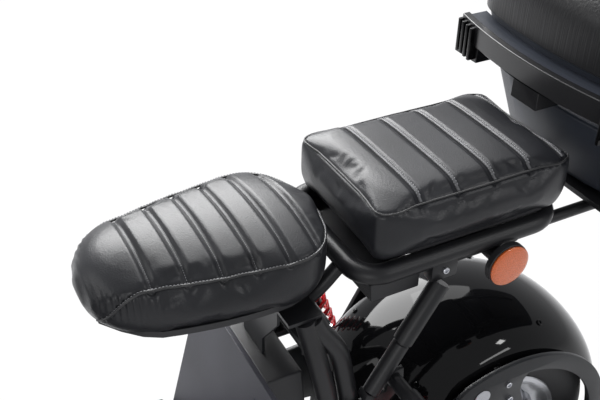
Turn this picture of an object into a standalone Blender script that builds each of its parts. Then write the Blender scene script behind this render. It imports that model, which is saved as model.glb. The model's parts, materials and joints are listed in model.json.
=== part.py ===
"""Electric scooter with two seats and a top box, as separate jointed pieces.

Metres, +Z up. The scooter faces -Y, its left side is +X, and it stands on z = 0.
Places along the scooter are written as distances from the rear axle, ahead of it
being negative, and aft(distance) turns them into the Y of this frame.
"""
import math

import bmesh
import bpy
from mathutils import Matrix, Vector

# Driving dimensions
WHEELBASE = 1.25
TYRE_R = 0.219
TYRE_HALF = 0.1125
TREAD_HALF = 0.075
BEAD_R = 0.140
RIM_HALF = 0.100
HUB_HALF = 0.060
TYRE_SEGMENTS = 36
BOX_REAR_OVERHANG = 0.54
GAP = 0.0003

RAIL_HALF = 0.10
RAIL_Z = 0.652
RAIL_R = 0.0135
RAIL_END = 0.060
RAIL_CORNER = 0.045
TIE_R = 0.009
POST_TOP = 0.622
DECK_RAIL_Z = 0.235
CROSSING_R = 0.0125
BATTERY_TOP = 0.512
DECK_Z = 0.300
DECK_FRONT = -0.955
DECK_REAR = -0.440
DECK_HALF = 0.150
PANEL_HALF = 0.128
BATTERY_HALF = 0.080
MAT_T = 0.004

PIVOT = (-0.340, 0.285)
PIVOT_SHAFT_R = 0.010
ARM_X = 0.132
ARM_T = 0.008
ARCH_R = 0.215
ARCH_INNER_R = 0.187
ARM_BOSS_R = 0.090
PIVOT_BOSS_R = 0.040
AXLE_R = 0.008
FENDER_R = 0.252
FENDER_HALF = 0.1225
FENDER_T = 0.003
FENDER_DROP = 0.060
FENDER_SHIFT = (0.004, -0.001)

SHOCK_X = 0.166
SHOCK_TOP = (-0.198, 0.478)
SHOCK_LOW = (-0.125, 0.262)
SPRING_R = 0.0195
SPRING_SEAT_R = 0.0225
SPRING_WIRE_R = 0.0038
SPRING_TURNS = 7
EYE_R = 0.014
EYE_HALF = 0.011
PIN_R = 0.005

RAKE = math.radians(26)
FORK_OFFSET = 0.030
LEG_X = 0.155
STANCHION_R = 0.017
SLIDER_R = 0.024
SLIDER_TOP = 0.300
STANCHION_LOW = 0.090
CROWN_LOW = 0.402
CROWN_T = 0.022
HEAD_LOW = 0.430
HEAD_HIGH = 0.580
HEAD_R = 0.029
STEM_R = 0.015
CROWN_HIGH = 0.588
DISC_X = 0.1215
DISC_R = 0.105
DISC_T = 0.004
DISC_BORE_R = 0.012
LAMP_R = 0.075
LAMP_DEPTH = 0.070

BAR_R = 0.0125
BAR_HALF = 0.360
BAR_RISE = 0.185
BAR_SWEEP = 0.132
GRIP_R = 0.0175
GRIP_LENGTH = 0.125

SEAT_FRONT = -0.228
SEAT_LENGTH = 0.300
SEAT_HALF = 0.112
SEAT_BASE_T = 0.010
SEAT_CUSHION_T = 0.066
SEAT_CROWN = 0.010
SEAT_FIRST_CHANNEL = -0.170
CHANNEL_PITCH = 0.0554
SEAT_CHANNELS = 5

SADDLE_NOSE = -0.578
SADDLE_REAR = -0.254
SADDLE_HALF = 0.110
SADDLE_BASE_T = 0.009
SADDLE_CUSHION_T = 0.060
SADDLE_CROWN = 0.014
SADDLE_FIRST_CHANNEL = -0.500
SADDLE_CHANNEL_PITCH = 0.0395
SADDLE_CHANNELS = 6
CHANNEL_DEPTH = 0.004
CHANNEL_HALF = 0.007

BOX_BEHIND_SEAT = 0.044
BOX_FRONT = SEAT_FRONT + SEAT_LENGTH + BOX_BEHIND_SEAT
BOX_REAR = BOX_REAR_OVERHANG - 0.004
BOX_HALF = 0.205
BOX_Z = 0.640
BOX_RIM_Z = 0.845
BOX_TOP_Z = 0.965
BOX_WALL = 0.004
BOX_TAPER = 0.035
BOX_CORNER = 0.070
BOX_BOW = 0.030
HANDLE_Z = 0.829
HANDLE_T = 0.012

# Places worked out from the driving dimensions
SEAT_BASE_Z = RAIL_Z + RAIL_R + GAP
MOUNT_LOW = POST_TOP + GAP
TONGUE_TOP = MOUNT_LOW + 0.0115
SADDLE_BOARD_Z = TONGUE_TOP + 0.0065
SADDLE_HINGE = (-0.452, SADDLE_BOARD_Z + 0.0020)
REAR_AXLE_Y = (WHEELBASE + TYRE_R - BOX_REAR_OVERHANG) / 2
AXLE_Z = TYRE_R * math.cos(math.pi / TYRE_SEGMENTS)
UP = Vector((0, math.sin(RAKE), math.cos(RAKE)))
AHEAD = Vector((0, -math.cos(RAKE), math.sin(RAKE)))
X_AXIS = Vector((1, 0, 0))


def aft(distance):
    return REAR_AXLE_Y + distance


REAR_AXLE = Vector((0, aft(0), AXLE_Z))
FRONT_AXLE = Vector((0, aft(-WHEELBASE), AXLE_Z))
STEER_FOOT = FRONT_AXLE - FORK_OFFSET * AHEAD


def on_steer(up, ahead=0.0, x=0.0):
    """A point measured along the steering axis, ahead of it and to the left."""
    return STEER_FOOT + up * UP + ahead * AHEAD + Vector((x, 0, 0))


def side_point(place, x=0.0):
    """A point of the scooter's side view, given behind the rear axle and above the floor."""
    return Vector((x, aft(place[0]), place[1]))


for old in list(bpy.data.objects):
    bpy.data.objects.remove(old, do_unlink=True)
SCENE = bpy.context.scene
PARTS = bpy.data.collections.new("electric_scooter")
SHOP = bpy.data.collections.new("workshop")
SHOP.hide_render = True
SCENE.collection.children.link(PARTS)
SCENE.collection.children.link(SHOP)


# Materials

def paint(name, colour, roughness, metallic=0.0):
    material = bpy.data.materials.new(name)
    material.use_nodes = True
    shader = material.node_tree.nodes["Principled BSDF"]
    shader.inputs["Base Color"].default_value = (*colour, 1)
    shader.inputs["Roughness"].default_value = roughness
    shader.inputs["Metallic"].default_value = metallic
    material.diffuse_color = (*colour, 1)
    return material


# Workshop: each function below returns a closed shape, in world coordinates

def shop_object(mesh, name="shape"):
    shape = bpy.data.objects.new(name, mesh)
    SHOP.objects.link(shape)
    shape.hide_render = True
    shape.display_type = "WIRE"
    return shape


def from_bmesh(shape_bmesh, matrix=None):
    if matrix is not None:
        bmesh.ops.transform(shape_bmesh, matrix=matrix, verts=shape_bmesh.verts)
    bmesh.ops.recalc_face_normals(shape_bmesh, faces=shape_bmesh.faces)
    mesh = bpy.data.meshes.new("shape")
    shape_bmesh.to_mesh(mesh)
    shape_bmesh.free()
    return shop_object(mesh)


def baked(shape):
    """The shape as its modifiers or its curve leave it, as one welded mesh."""
    bpy.context.view_layer.update()
    graph = bpy.context.evaluated_depsgraph_get()
    mesh = bpy.data.meshes.new_from_object(shape.evaluated_get(graph))
    mesh.transform(shape.matrix_world)
    bpy.data.objects.remove(shape, do_unlink=True)
    welded = bmesh.new()
    welded.from_mesh(mesh)
    bmesh.ops.remove_doubles(welded, verts=welded.verts, dist=1e-5)
    bmesh.ops.dissolve_degenerate(welded, edges=welded.edges, dist=1e-6)
    return from_bmesh(welded)


def combined(operation, base, others):
    for other in others:
        modifier = base.modifiers.new("join", "BOOLEAN")
        modifier.operation = operation
        modifier.solver = "EXACT"
        modifier.object = other
    result = baked(base)
    for other in others:
        bpy.data.objects.remove(other, do_unlink=True)
    return result


def fused(base, *others):
    return combined("UNION", base, others)


def cut(base, *others):
    return combined("DIFFERENCE", base, others)


def mirrored(shape):
    """A copy of the shape on the scooter's other side."""
    copy = bmesh.new()
    copy.from_mesh(shape.data)
    bmesh.ops.scale(copy, vec=(-1, 1, 1), verts=copy.verts)
    return from_bmesh(copy)


def block(size, centre, matrix=None, bevel=0.0):
    cube = bmesh.new()
    bmesh.ops.create_cube(cube, size=1)
    bmesh.ops.scale(cube, vec=size, verts=cube.verts)
    if bevel:
        bmesh.ops.bevel(cube, geom=cube.edges, offset=bevel, segments=2, affect="EDGES", profile=0.5)
    turn = matrix if matrix is not None else Matrix.Identity(4)
    return from_bmesh(cube, Matrix.Translation(centre) @ turn)


def turned_to(direction, side=X_AXIS):
    """The rotation that takes +Z to the direction and keeps +X near the side given."""
    z = direction.normalized()
    y = z.cross(side).normalized()
    x = y.cross(z)
    return Matrix((x, y, z)).transposed().to_4x4()


def rod(start, end, radius, end_radius=None, sides=20):
    cone = bmesh.new()
    along = end - start
    side = X_AXIS if abs(along.normalized().x) < 0.9 else Vector((0, 1, 0))
    bmesh.ops.create_cone(
        cone, cap_ends=True, segments=sides, radius1=radius,
        radius2=radius if end_radius is None else end_radius, depth=along.length,
    )
    return from_bmesh(cone, Matrix.Translation((start + end) / 2) @ turned_to(along, side))


def smooth_route(points, per_span=4):
    """Points read from a smooth curve through the given ones."""
    given = [Vector(p) for p in points]
    padded = [2 * given[0] - given[1], *given, 2 * given[-1] - given[-2]]
    route = []
    for i in range(1, len(padded) - 2):
        a, b, c, d = padded[i - 1:i + 3]
        for step in range(per_span):
            t = step / per_span
            route.append(0.5 * (
                2 * b + (c - a) * t + (2 * a - 5 * b + 4 * c - d) * t**2
                + (3 * b - a - 3 * c + d) * t**3
            ))
    return [*route, given[-1]]


def pipe(route, radius, resolution=4, closed=False):
    curve = bpy.data.curves.new("pipe", "CURVE")
    curve.dimensions = "3D"
    curve.bevel_depth = radius
    curve.bevel_resolution = resolution
    curve.use_fill_caps = True
    spline = curve.splines.new("POLY")
    spline.points.add(len(route) - 1)
    for point, place in zip(spline.points, route):
        point.co = (*place, 1)
    spline.use_cyclic_u = closed
    return baked(shop_object(curve))


def arc(centre, radius, start, end, steps):
    """Points of an arc in a flat view, its angles in degrees."""
    return [
        (
            centre[0] + radius * math.cos(math.radians(start + (end - start) * i / steps)),
            centre[1] + radius * math.sin(math.radians(start + (end - start) * i / steps)),
        )
        for i in range(steps + 1)
    ]


def flat_plate(outlines, thickness, matrix):
    """An outline with its holes, cut from a plate that lies about the matrix's XY plane."""
    curve = bpy.data.curves.new("plate", "CURVE")
    curve.dimensions = "2D"
    curve.fill_mode = "BOTH"
    curve.extrude = thickness / 2
    for outline in outlines:
        spline = curve.splines.new("POLY")
        spline.points.add(len(outline) - 1)
        for point, place in zip(spline.points, outline):
            point.co = (*place, 0, 1)
        spline.use_cyclic_u = True
    plate = shop_object(curve)
    plate.matrix_world = matrix
    return baked(plate)


def side_frame(x):
    """The frame of a side view at x: its X runs aft from the rear axle and its Y runs up."""
    turn = Matrix(((0, 0, 1), (1, 0, 0), (0, 1, 0))).to_4x4()
    return Matrix.Translation((x, aft(0), 0)) @ turn


def side_plate(outlines, x_low, x_high):
    return flat_plate(outlines, x_high - x_low, side_frame((x_low + x_high) / 2))


def turned(profile, matrix, steps=32, closed=False):
    """A profile of (along, radius) points turned about the matrix's Z axis."""
    mesh = bpy.data.meshes.new("profile")
    edges = [(i, i + 1) for i in range(len(profile) - 1)]
    if closed:
        edges.append((len(profile) - 1, 0))
    mesh.from_pydata([(radius, 0, along) for along, radius in profile], edges, [])
    shape = shop_object(mesh)
    screw = shape.modifiers.new("turn", "SCREW")
    screw.axis = "Z"
    screw.angle = math.tau
    screw.steps = screw.render_steps = steps
    screw.use_merge_vertices = True
    screw.merge_threshold = 0.00001
    shape.matrix_world = matrix
    return baked(shape)


def across(place):
    """The frame of a turned piece whose axis runs to the scooter's left through the place."""
    return Matrix.Translation(place) @ turned_to(X_AXIS, Vector((0, 1, 0)))


# Bodies: an empty on each joint's axis carries the pieces that move there

BODIES = {}


def body(name, place=(0, 0, 0), parent=None):
    empty = bpy.data.objects.new(name, None)
    PARTS.objects.link(empty)
    empty.empty_display_size = 0.03
    empty["place"] = list(place)
    if parent is not None:
        empty.parent = BODIES[parent]
        empty.location = Vector(place) - Vector(BODIES[parent]["place"])
    else:
        empty.location = place
    BODIES[name] = empty
    return empty


def piece(name, shape, material, holder, smooth=True):
    """Names a finished shape and hangs it on its body, with its origin on the joint's axis."""
    SHOP.objects.unlink(shape)
    PARTS.objects.link(shape)
    shape.hide_render = False
    shape.display_type = "TEXTURED"
    shape.name = shape.data.name = name
    shape.data.transform(Matrix.Translation(-Vector(BODIES[holder]["place"])))
    shape.parent = BODIES[holder]
    shape.data.materials.clear()
    shape.data.materials.append(material)
    if smooth:
        shape.data.shade_smooth()
        shape.data.set_sharp_from_angle(angle=math.radians(35))
    return shape


# Finishes

BLACK_PAINT = paint("black_paint", (0.030, 0.031, 0.034), 0.45)
GREY_PAINT = paint("grey_paint", (0.075, 0.078, 0.085), 0.40)
GLOSS_BLACK = paint("gloss_black", (0.008, 0.008, 0.009), 0.08)
BLACK_PLASTIC = paint("black_plastic", (0.022, 0.022, 0.025), 0.55)
BATTERY_PAINT = paint("battery_paint", (0.070, 0.070, 0.090), 0.50)
BLACK_LEATHER = paint("black_leather", (0.020, 0.020, 0.022), 0.38)
RUBBER = paint("rubber", (0.018, 0.018, 0.018), 0.80)
TYRE_RUBBER = paint("tyre_rubber", (0.022, 0.022, 0.023), 0.75)
SILVER = paint("silver", (0.62, 0.63, 0.65), 0.28, 1.0)
STEEL = paint("steel", (0.55, 0.56, 0.58), 0.30, 1.0)
CHROME = paint("chrome", (0.80, 0.81, 0.83), 0.08, 1.0)
RED_PAINT = paint("red_paint", (0.60, 0.015, 0.020), 0.22)
AMBER = paint("amber", (0.90, 0.27, 0.02), 0.15)
CLEAR_LENS = paint("clear_lens", (0.85, 0.88, 0.90), 0.05)
BOX_PLASTIC = paint("box_plastic", (0.055, 0.060, 0.072), 0.42)

body("scooter")


# Frame: a head tube, a spine, deck rails that rise to the saddle, and cross tubes

def head_tube():
    outer = rod(on_steer(HEAD_LOW), on_steer(HEAD_HIGH), HEAD_R, sides=28)
    bore = rod(on_steer(HEAD_LOW - 0.01), on_steer(HEAD_HIGH + 0.01), STEM_R + 2 * GAP, sides=24)
    return outer, bore


def post_route(side):
    """One deck rail: level under the deck, then up and forward to the saddle."""
    x = side * RAIL_HALF
    return [
        side_point(place, x) for place in (
            (DECK_FRONT + 0.040, DECK_RAIL_Z), (-0.700, DECK_RAIL_Z), (-0.500, DECK_RAIL_Z),
            (-0.370, DECK_RAIL_Z), (-0.310, DECK_RAIL_Z + 0.022), (-0.284, DECK_RAIL_Z + 0.080),
            (-0.279, 0.390), (-0.289, 0.463), (-0.305, 0.540), (-0.3195, 0.600),
            (-0.326, POST_TOP + 0.006),
        )
    ]


HANGER_X = 0.103


def main_frame():
    tube, bore = head_tube()
    spine_start = on_steer((HEAD_LOW + HEAD_HIGH) / 2, -0.012)
    spine = pipe(smooth_route([
        spine_start, side_point((-0.900, 0.560)), side_point((-0.860, 0.430)),
        side_point((-0.850, 0.320)), side_point((-0.835, DECK_RAIL_Z)),
    ], 3), 0.024, 4)
    rails = [pipe(smooth_route(post_route(side), 2), RAIL_R + 0.0005, 2) for side in (-1, 1)]
    crossings = [
        rod(side_point(place, -RAIL_HALF), side_point(place, RAIL_HALF), radius, sides=10)
        for place, radius in (
            ((DECK_FRONT + 0.060, DECK_RAIL_Z), CROSSING_R),
            ((-0.835, DECK_RAIL_Z), 0.0135),
            ((-0.402, DECK_RAIL_Z), CROSSING_R),
            ((-0.284, 0.345), 0.0110),
            ((-0.3085, 0.555), 0.0110),
        )
    ]
    hangers = [
        fused(
            side_plate([[(-0.372, DECK_RAIL_Z), (-0.315, DECK_RAIL_Z), (-0.318, 0.300),
                         (-0.340, 0.309), (-0.364, 0.296)]],
                       side * HANGER_X - 0.004, side * HANGER_X + 0.004),
            rod(side_point(PIVOT, side * 0.094), side_point(PIVOT, side * 0.124), 0.019, sides=16),
        )
        for side in (-1, 1)
    ]
    lugs = [
        block((0.030, 0.050, 0.012), side_point((-0.262, 0.414), side * RAIL_HALF))
        for side in (-1, 1)
    ]
    frame = fused(tube, spine, *rails, *crossings, *hangers, *lugs)
    shaft_bore = rod(side_point(PIVOT, -0.15), side_point(PIVOT, 0.15), PIVOT_SHAFT_R + GAP, sides=16)
    above_posts = block((0.3, 0.12, 0.1), side_point((-0.32, POST_TOP + 0.05)))
    return cut(frame, bore, shaft_bore, above_posts)


piece("main_frame", main_frame(), BLACK_PAINT, "scooter")


# Seat loop: a closed tube under the rear seat, on two necks that come up from a cross tube
GUSSET_LOW = 0.621
REAR_TIE = -0.045
BOX_OF_WIRES_LOW = 0.6105
LOOP_FRONT = -0.246
LOOP_FRONT_CORNER = 0.035
RISER_FOOT_Z = 0.4203
CROSS_TUBE = (-0.300, 0.600)
CROSS_TUBE_R = 0.011
NECK_X = 0.050
NECK_R = 0.010


def loop_route():
    """The loop in plan, from the middle of its rear round to the middle again."""
    corners = (
        (RAIL_END - RAIL_CORNER, RAIL_CORNER, 90, 0),
        (LOOP_FRONT + LOOP_FRONT_CORNER, LOOP_FRONT_CORNER, 0, -90),
    )
    left = [
        Vector((RAIL_HALF - radius + across_part, aft(centre + back), RAIL_Z))
        for centre, radius, start, end in corners
        for across_part, back in arc((0, 0), radius, start, end, 4)
    ]
    return [*left, *[Vector((-p.x, p.y, p.z)) for p in reversed(left)]]


def riser_route(side):
    """The tube that rises behind a post, from the shock's bracket to the saddle's plate."""
    return [
        side_point(place, side * RAIL_HALF) for place in (
            (-0.254, RISER_FOOT_Z), (-0.256, 0.446), (-0.2655, 0.500), (-0.2775, 0.550),
            (-0.3029, 0.594), (-0.3150, 0.6187), (-0.3200, 0.630),
        )
    ]


def neck_route(side):
    return [
        side_point(place, side * NECK_X) for place in (
            (LOOP_FRONT, RAIL_Z - 0.006), (-0.258, 0.634), (-0.276, 0.617), CROSS_TUBE,
        )
    ]


# Braces and the brackets that carry the shock absorbers
BRACE_X = 0.112
BRACE_TOP = side_point((-0.1355, 0.618), BRACE_X)
BRACE_FOOT = side_point((-0.2350, 0.4725), BRACE_X + 0.008)


def brace(side):
    along = (BRACE_TOP - BRACE_FOOT).normalized()
    tube = rod(BRACE_FOOT, BRACE_TOP, 0.0120, sides=20)
    sleeve = rod(BRACE_TOP - 0.095 * along, BRACE_TOP + 0.020 * along, 0.0135, sides=20)
    above = block((0.1, 0.1, 0.06), Vector((BRACE_X, BRACE_TOP.y, GUSSET_LOW - GAP + 0.03)))
    shape = cut(fused(tube, sleeve), above)
    return shape if side > 0 else replaced(shape, mirrored(shape))


def replaced(old, new):
    bpy.data.objects.remove(old, do_unlink=True)
    return new


def shock_bracket(side):
    plate = side_plate([[(-0.274, 0.425), (-0.274, 0.452), (-0.246, 0.458), (-0.209, 0.460),
                         (-0.206, 0.492), (-0.184, 0.492), (-0.182, 0.462), (-0.215, 0.425)]],
                       RAIL_HALF + RAIL_R - 0.0015, RAIL_HALF + RAIL_R + 0.006)
    along = (BRACE_TOP - BRACE_FOOT).normalized()
    lug_place = BRACE_FOOT - (0.006 + GAP) * along
    lug = block((0.022, 0.022, 0.012), lug_place, turned_to(along))
    lug.matrix_world = Matrix.Translation((0.003, 0, 0))
    pin = rod(side_point(SHOCK_TOP, 0.118), side_point(SHOCK_TOP, SHOCK_X + EYE_HALF + 0.003), PIN_R)
    collar = rod(side_point(SHOCK_TOP, 0.118), side_point(SHOCK_TOP, SHOCK_X - EYE_HALF - GAP), 0.010)
    shape = fused(plate, baked(lug), collar, pin)
    return shape if side > 0 else replaced(shape, mirrored(shape))


def seat_loop():
    loop = pipe(loop_route(), RAIL_R, 2, closed=True)
    risers = [pipe(smooth_route(riser_route(side), 2), RAIL_R, 2) for side in (-1, 1)]
    necks = [pipe(smooth_route(neck_route(side), 2), NECK_R, 2) for side in (-1, 1)]
    cross_tube = rod(side_point(CROSS_TUBE, -RAIL_HALF), side_point(CROSS_TUBE, RAIL_HALF), CROSS_TUBE_R,
                     sides=12)
    tie = rod(side_point((REAR_TIE, RAIL_Z), -RAIL_HALF), side_point((REAR_TIE, RAIL_Z), RAIL_HALF), TIE_R,
              sides=10)
    gussets = [
        block((0.020, 0.040, 0.030), side_point((-0.131, GUSSET_LOW + 0.015), side * 0.103))
        for side in (-1, 1)
    ]
    shape = fused(loop, *risers, *necks, cross_tube, tie, *gussets, shock_bracket(1), shock_bracket(-1))
    below_risers = block((0.3, 0.1, 0.04), side_point((-0.254, RISER_FOOT_Z - 0.02)))
    above_risers = block((0.3, 0.060, 0.030), side_point((-0.324, POST_TOP - 0.001 + 0.015)))
    posts = [pipe(smooth_route(post_route(side), 2), RAIL_R + 0.0005 + GAP, 2) for side in (-1, 1)]
    return cut(shape, below_risers, above_risers, *posts)


piece("seat_loop", seat_loop(), BLACK_PAINT, "scooter")
for side, word in ((1, "left"), (-1, "right")):
    piece(f"brace_{word}", brace(side), BLACK_PAINT, "scooter")


# Deck and battery

def deck_plate():
    length = DECK_REAR - DECK_FRONT
    low = DECK_RAIL_Z + RAIL_R + 0.0005 + GAP
    centre = side_point((DECK_FRONT + length / 2, (low + DECK_Z) / 2))
    plate = block((2 * DECK_HALF, length, DECK_Z - low), centre, bevel=0.004)
    spine_slot = rod(side_point((-0.829, 0.200)), side_point((-0.857, 0.360)), 0.028, sides=24)
    return cut(plate, spine_slot)


piece("deck_plate", deck_plate(), BLACK_PAINT, "scooter")


MAT_FRONT = -0.805
MAT_INSET = 0.012


def deck_mat():
    rear = DECK_REAR - MAT_INSET
    centre = side_point(((MAT_FRONT + rear) / 2, DECK_Z + GAP + MAT_T / 2))
    return block((2 * DECK_HALF - 0.030, rear - MAT_FRONT, MAT_T), centre, bevel=0.001)


piece("deck_mat", deck_mat(), RUBBER, "scooter", smooth=False)

# The battery leans back against the posts: its cover is the panel that faces the rider's feet
PANEL_OUTLINE = ((-0.4335, 0.3005), (-0.3765, 0.5200), (-0.3690, 0.5180), (-0.4260, 0.2985))
KEY_SLOT = (-0.386, 0.487)
KEY_SLOT_X = 0.088


def battery_case():
    floor = DECK_RAIL_Z + CROSSING_R + 2 * GAP
    outline = [(-0.4255, floor), (-0.4225, 0.3080), (-0.368, BATTERY_TOP), (-0.316, BATTERY_TOP),
               (-0.309, 0.4300), (-0.309, 0.3200), (-0.376, 0.3200), (-0.376, floor)]
    return side_plate([outline], -BATTERY_HALF, BATTERY_HALF)


def battery_panel():
    panel = side_plate([PANEL_OUTLINE], -PANEL_HALF, PANEL_HALF)
    slot = block((0.020, 0.05, 0.006), side_point(KEY_SLOT, KEY_SLOT_X))
    return cut(panel, slot)


piece("battery_case", battery_case(), BLACK_PLASTIC, "scooter", smooth=False)
piece("battery_panel", battery_panel(), BATTERY_PAINT, "scooter", smooth=False)


# Saddle fittings: the fork-shaped plate under the saddle, the carry handle and the wiring box

BRACKET_PLACE = -0.3480
BRACKET_HALF = 0.075
BRACKET_NECK = 0.030
BRACKET_NOTCH = 0.022


def saddle_bracket():
    """An upright plate across the scooter, wide at the saddle's plate, with a notch between its arms."""
    plate_frame = Matrix.Translation(side_point((BRACKET_PLACE, 0.0)))
    plate_frame = plate_frame @ Matrix.Rotation(math.radians(90), 4, "X")
    top = MOUNT_LOW - GAP
    foot = BATTERY_TOP + GAP
    half = [(BRACKET_NECK, foot), (BRACKET_NECK, 0.540), (BRACKET_HALF, 0.600), (BRACKET_HALF, top),
            (BRACKET_NOTCH, top)]
    outline = [*half, (0.0, 0.590), *[(-x, z) for x, z in reversed(half)]]
    return flat_plate([outline], 0.004, plate_frame)


piece("saddle_bracket", saddle_bracket(), SILVER, "scooter", smooth=False)


HINGE_PIN_R = 0.0022
EAR_X = 0.0245


def saddle_hinge():
    """The hinge's two ears on the tongue, with the pin through both."""
    hinge = side_point(SADDLE_HINGE)
    foot = TONGUE_TOP - 0.002
    height = hinge.z + 0.0045 - foot
    ears = [
        block((0.004, 0.010, height), Vector((side * EAR_X, hinge.y, foot + height / 2)))
        for side in (-1, 1)
    ]
    pin = rod(hinge - 0.0275 * X_AXIS, hinge + 0.0275 * X_AXIS, HINGE_PIN_R, sides=12)
    return [*ears, pin]


def saddle_mount():
    """The top plate that bridges the posts, its rubber rests, and the tongue to the saddle's hinge."""
    plate = block((0.216, 0.045, 0.005), side_point((-0.3280, MOUNT_LOW + 0.0025)))
    front = SADDLE_HINGE[0] - 0.003
    rear = -0.300
    tongue = block((0.060, rear - front, 0.0075), side_point(((front + rear) / 2, TONGUE_TOP - 0.00375)))
    rest_height = SADDLE_BOARD_Z - GAP - MOUNT_LOW
    rests = [
        block((0.020, 0.020, rest_height), side_point((-0.325, MOUNT_LOW + rest_height / 2), side * 0.055))
        for side in (-1, 1)
    ]
    return fused(plate, tongue, *rests, *saddle_hinge())


def tail_tray():
    hanger = RAIL_Z - TIE_R - GAP
    outline = [(-0.117, 0.6110), (-0.100, 0.6050), (0.020, 0.6050), (0.031, 0.6180), (0.031, 0.6365),
               (-0.030, 0.6365), (-0.034, hanger), (-0.056, hanger), (-0.060, 0.6365), (-0.117, 0.6365)]
    return side_plate([outline], -0.076, 0.076)


def controller_box():
    """The wiring box that hangs under the rails behind the saddle, its front face sloped."""
    top = RAIL_Z - RAIL_R - GAP
    outline = [(-0.2315, BOX_OF_WIRES_LOW), (-0.2340, top), (-0.1600, top),
               (-0.1600, BOX_OF_WIRES_LOW)]
    return side_plate([outline], -RAIL_HALF, RAIL_HALF)


piece("saddle_mount", saddle_mount(), BLACK_PAINT, "scooter", smooth=False)
piece("tail_tray", tail_tray(), GREY_PAINT, "scooter", smooth=False)
piece("controller_box", controller_box(), BLACK_PLASTIC, "scooter", smooth=False)


# Seats

def channel_dip(distance, first, pitch, count):
    """How far the sewn channels draw the cushion down at a distance behind the rear axle."""
    dip = 0.0
    for index in range(count):
        offset = abs(distance - (first + index * pitch))
        if offset < CHANNEL_HALF:
            dip = max(dip, CHANNEL_DEPTH * 0.5 * (1 + math.cos(math.pi * offset / CHANNEL_HALF)))
    return dip


def stations(front, rear, first, pitch, count):
    """Rows across a cushion: five at each channel, and its ends."""
    rows = {front, rear}
    for index in range(count):
        centre = first + index * pitch
        rows.update(centre + part * CHANNEL_HALF for part in (-1, 0, 1))
        rows.add(centre + pitch / 2)
    for part in (0.02, 0.05, 0.10, 0.20):
        rows.add(front + part * (first - front) * 2)
        rows.add(rear - part * (rear - front) * 0.5)
    return sorted(row for row in rows if front <= row <= rear)


TOP_INSET = 0.955
END_INSET = 0.975
CUSHION_LEVELS = ((0.0, 0.92), (0.30, 1.0), (0.72, 1.0), (0.93, 0.975))


def cushion(front, rear, half_width, base_z, thickness, crown, channels, columns=8):
    """A closed cushion: a crowned top with sewn channels, full sides, and a hem drawn in."""
    rows = stations(front, rear, *channels)
    shape = bmesh.new()
    middle = (front + rear) / 2
    grid = []
    for row in rows:
        line = []
        for column in range(columns + 1):
            across_part = 2 * column / columns - 1
            width = half_width(row)
            end_part = (row - middle) / ((rear - front) / 2)
            swell = crown * (1 - across_part**4) * (1 - end_part**6)
            edge = max(0.0, 1 - max(abs(across_part), abs(end_part))**8)
            dip = channel_dip(row, *channels) * (1 - across_part**6)
            z = base_z + thickness + swell - dip - 0.004 * (1 - edge)
            back = aft(middle + (row - middle) * END_INSET)
            line.append(shape.verts.new((across_part * width * TOP_INSET, back, z)))
        grid.append(line)
    for near, far in zip(grid, grid[1:]):
        for i in range(columns):
            shape.faces.new((near[i], near[i + 1], far[i + 1], far[i]))
    rim = [*grid[0], *[line[-1] for line in grid[1:-1]], *reversed(grid[-1]),
           *[line[0] for line in reversed(grid[1:-1])]]
    centre = Vector((0, aft(middle), 0))
    upper = rim
    for part, spread in reversed(CUSHION_LEVELS):
        ring = []
        for vert in rim:
            out = Vector((vert.co.x / TOP_INSET, centre.y + (vert.co.y - centre.y) / END_INSET, 0))
            place = centre + (out - centre) * spread
            ring.append(shape.verts.new((place.x, place.y, base_z + part * thickness)))
        for i in range(len(ring)):
            j = (i + 1) % len(ring)
            shape.faces.new((upper[i], upper[j], ring[j], ring[i]))
        upper = ring
    shape.faces.new(upper)
    bmesh.ops.triangulate(shape, faces=[face for face in shape.faces if len(face.verts) > 4])
    return from_bmesh(shape)


def seat_width(distance):
    """The rear seat is near rectangular, with rounded corners in plan."""
    half_length = SEAT_LENGTH / 2
    end_part = min(1.0, abs(distance - (SEAT_FRONT + half_length)) / half_length)
    return SEAT_HALF * (1 - 0.10 * end_part**12)


def saddle_width(distance):
    """The saddle's half width in plan: a round nose that widens to the rear, and a full back."""
    along = (distance - SADDLE_NOSE) / (SADDLE_REAR - SADDLE_NOSE)
    nose = min(1.0, along / 0.24)
    growth = 0.62 + 0.38 * math.sin(min(1.0, along / 0.70) * math.pi / 2)
    tail = max(0.0, along - 0.70) / 0.30
    return SADDLE_HALF * growth * (0.30 + 0.70 * (1 - (1 - nose)**2.2)) * (1 - 0.62 * tail**3.2)


SEAT_CHANNEL_RULE = (SEAT_FIRST_CHANNEL, CHANNEL_PITCH, SEAT_CHANNELS)
SADDLE_CHANNEL_RULE = (SADDLE_FIRST_CHANNEL, SADDLE_CHANNEL_PITCH, SADDLE_CHANNELS)


def seat_board(front, rear, half_width, low, thickness, inset):
    """The stiff board under a cushion, a little smaller than the cushion in plan."""
    middle = (front + rear) / 2
    steps = 14
    rows = [front + (rear - front) * i / steps for i in range(steps + 1)]
    side = [(half_width(row) * inset, middle + (row - middle) * inset) for row in rows]
    outline = [*side, *[(-x, distance) for x, distance in reversed(side)]]
    frame = Matrix.Translation((0, aft(0), low + thickness / 2))
    return flat_plate([outline], thickness, frame)


body("saddle", side_point(SADDLE_HINGE), "scooter")


def rear_seat_base():
    rear = SEAT_FRONT + SEAT_LENGTH
    return seat_board(SEAT_FRONT, rear, seat_width, SEAT_BASE_Z, SEAT_BASE_T, 0.86)


piece("rear_seat_base", rear_seat_base(), BLACK_PLASTIC, "scooter", smooth=False)
piece("rear_seat_cushion", cushion(
    SEAT_FRONT, SEAT_FRONT + SEAT_LENGTH, seat_width, SEAT_BASE_Z + SEAT_BASE_T + GAP,
    SEAT_CUSHION_T, SEAT_CROWN, SEAT_CHANNEL_RULE), BLACK_LEATHER, "scooter")


# Saddle: it tilts forward on a hinge at its front

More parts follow.
